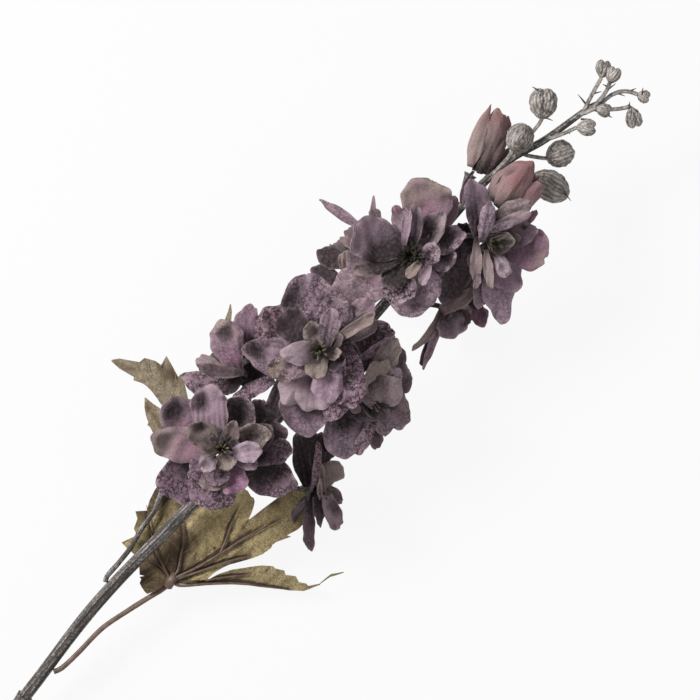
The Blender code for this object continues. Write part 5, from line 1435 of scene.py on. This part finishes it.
def build_stage():
    """A pale floor that glows, two soft lights, a white sky and a camera straight above."""
    scene = bpy.context.scene
    look = scene.spray_stage
    low, high = (np.array(v) for v in CAD_BOX)
    mesh = bpy.data.meshes.new("floor")
    corners = [(x * FLOOR_REACH, y * FLOOR_REACH, low[2]) for x, y in ((-1, -1), (1, -1), (1, 1), (-1, 1))]
    mesh.from_pydata(corners, [], [(0, 1, 2, 3)])
    floor = bpy.data.objects.new("floor", mesh)
    scene.collection.objects.link(floor)
    paper = bpy.data.materials.new("floor_paper")
    paper.use_nodes = True
    shader = paper.node_tree.nodes["Principled BSDF"]
    for socket, value in (("Base Color", linear(FLOOR_SHADE)), ("Roughness", 1.0),
                          ("Specular IOR Level", 0.0), ("Emission Color", linear(look.floor)),
                          ("Emission Strength", FLOOR_GLOW)):
        shader.inputs[socket].default_value = value
    mesh.materials.append(paper)

    world = bpy.data.worlds.new("studio")
    world.use_nodes = True
    sky = world.node_tree.nodes["Background"]
    sky.inputs["Color"].default_value = (1.0, 1.0, 1.0, 1.0)
    sky.inputs["Strength"].default_value = SKY_STRENGTH
    scene.world = world
    middle = 0.5 * (low + high)
    for name, (place, size, power) in LAMPS.items():
        light = bpy.data.lights.new(name, "AREA")
        light.shape = "SQUARE"
        light.size = size
        light.energy = power
        lamp = bpy.data.objects.new(name, light)
        lamp.location = place
        away = unit(np.array(place) - middle)
        lamp.rotation_euler = (math.acos(away[2]), 0.0, math.atan2(away[0], -away[1]))
        scene.collection.objects.link(lamp)

    shift = SHIFT * MM
    lens = bpy.data.cameras.new("camera")
    lens.lens = look.lens
    lens.sensor_width = 36.0
    eye = bpy.data.objects.new("camera", lens)
    eye.location = (CAMERA_STATION + shift[0], shift[1], look.height + shift[2])
    eye.rotation_euler = (0.0, 0.0, math.radians(CAMERA_TURN))
    scene.collection.objects.link(eye)
    scene.camera = eye
    scene.view_settings.view_transform = "Standard"
    scene.view_settings.exposure = look.exposure


# ---------------------------------------------------------------- operators and panel

class SPRAY_OT_outer_petals(bpy.types.Operator):
    """Build the outer petals of every bloom"""
    bl_idname = "spray.outer_petals"
    bl_label = "Outer petals"

    def execute(self, context):
        build_outer_petals()
        return {"FINISHED"}


class SPRAY_OT_inner_petals(bpy.types.Operator):
    """Build the middle and inner petals of every bloom"""
    bl_idname = "spray.inner_petals"
    bl_label = "Inner petals"

    def execute(self, context):
        build_inner_petals()
        return {"FINISHED"}


class SPRAY_OT_stamens(bpy.types.Operator):
    """Build the stamens of every bloom"""
    bl_idname = "spray.stamens"
    bl_label = "Stamens"

    def execute(self, context):
        build_stamens()
        return {"FINISHED"}


class SPRAY_OT_stem(bpy.types.Operator):
    """Build the sleeve and the upper stem"""
    bl_idname = "spray.stem"
    bl_label = "Stem"

    def execute(self, context):
        build_stem()
        return {"FINISHED"}


class SPRAY_OT_stalks(bpy.types.Operator):
    """Build the stalks of the blooms and leaves"""
    bl_idname = "spray.stalks"
    bl_label = "Stalks"

    def execute(self, context):
        build_stalks()
        return {"FINISHED"}


class SPRAY_OT_opening_buds(bpy.types.Operator):
    """Build the two opening buds"""
    bl_idname = "spray.opening_buds"
    bl_label = "Opening buds"

    def execute(self, context):
        build_opening_buds()
        return {"FINISHED"}


class SPRAY_OT_closed_buds(bpy.types.Operator):
    """Build the ten closed buds"""
    bl_idname = "spray.closed_buds"
    bl_label = "Closed buds"

    def execute(self, context):
        build_closed_buds()
        return {"FINISHED"}


class SPRAY_OT_leaves(bpy.types.Operator):
    """Build both leaves"""
    bl_idname = "spray.leaves"
    bl_label = "Leaves"

    def execute(self, context):
        build_leaves()
        return {"FINISHED"}


class SPRAY_OT_stage(bpy.types.Operator):
    """Build the floor, lights and camera"""
    bl_idname = "spray.stage"
    bl_label = "Stage"

    def execute(self, context):
        build_stage()
        return {"FINISHED"}


OPERATORS = (SPRAY_OT_outer_petals, SPRAY_OT_inner_petals, SPRAY_OT_stamens, SPRAY_OT_stem,
             SPRAY_OT_stalks, SPRAY_OT_opening_buds, SPRAY_OT_closed_buds, SPRAY_OT_leaves,
             SPRAY_OT_stage)


class SPRAY_PT_panel(bpy.types.Panel):
    """Settings and steps of the spray"""
    bl_idname = "SPRAY_PT_panel"
    bl_label = "Delphinium spray"
    bl_space_type = "VIEW_3D"
    bl_region_type = "UI"
    bl_category = "Spray"

    def draw(self, context):
        for group in (context.scene.spray_cloth, context.scene.spray_stem, context.scene.spray_leaf,
                      context.scene.spray_stage):
            for key in group.__annotations__:
                self.layout.prop(group, key)
        for step in OPERATORS:
            self.layout.operator(step.bl_idname)


GROUPS = {"spray_cloth": SprayCloth, "spray_stem": SprayStem, "spray_leaf": SprayLeaf,
          "spray_stage": SprayStage}


def register():
    for made in (*GROUPS.values(), *OPERATORS, SPRAY_PT_panel):
        bpy.utils.register_class(made)
    for key, made in GROUPS.items():
        setattr(bpy.types.Scene, key, bpy.props.PointerProperty(type=made))


def unregister():
    for key in GROUPS:
        delattr(bpy.types.Scene, key)
    for made in (SPRAY_PT_panel, *reversed(OPERATORS), *reversed(tuple(GROUPS.values()))):
        bpy.utils.unregister_class(made)


def main():
    register()
    bpy.ops.spray.outer_petals()
    bpy.ops.spray.inner_petals()
    bpy.ops.spray.stamens()
    bpy.ops.spray.stem()
    bpy.ops.spray.stalks()
    bpy.ops.spray.opening_buds()
    bpy.ops.spray.closed_buds()
    bpy.ops.spray.leaves()
    bpy.ops.spray.stage()


if __name__ == "__main__":
    main()
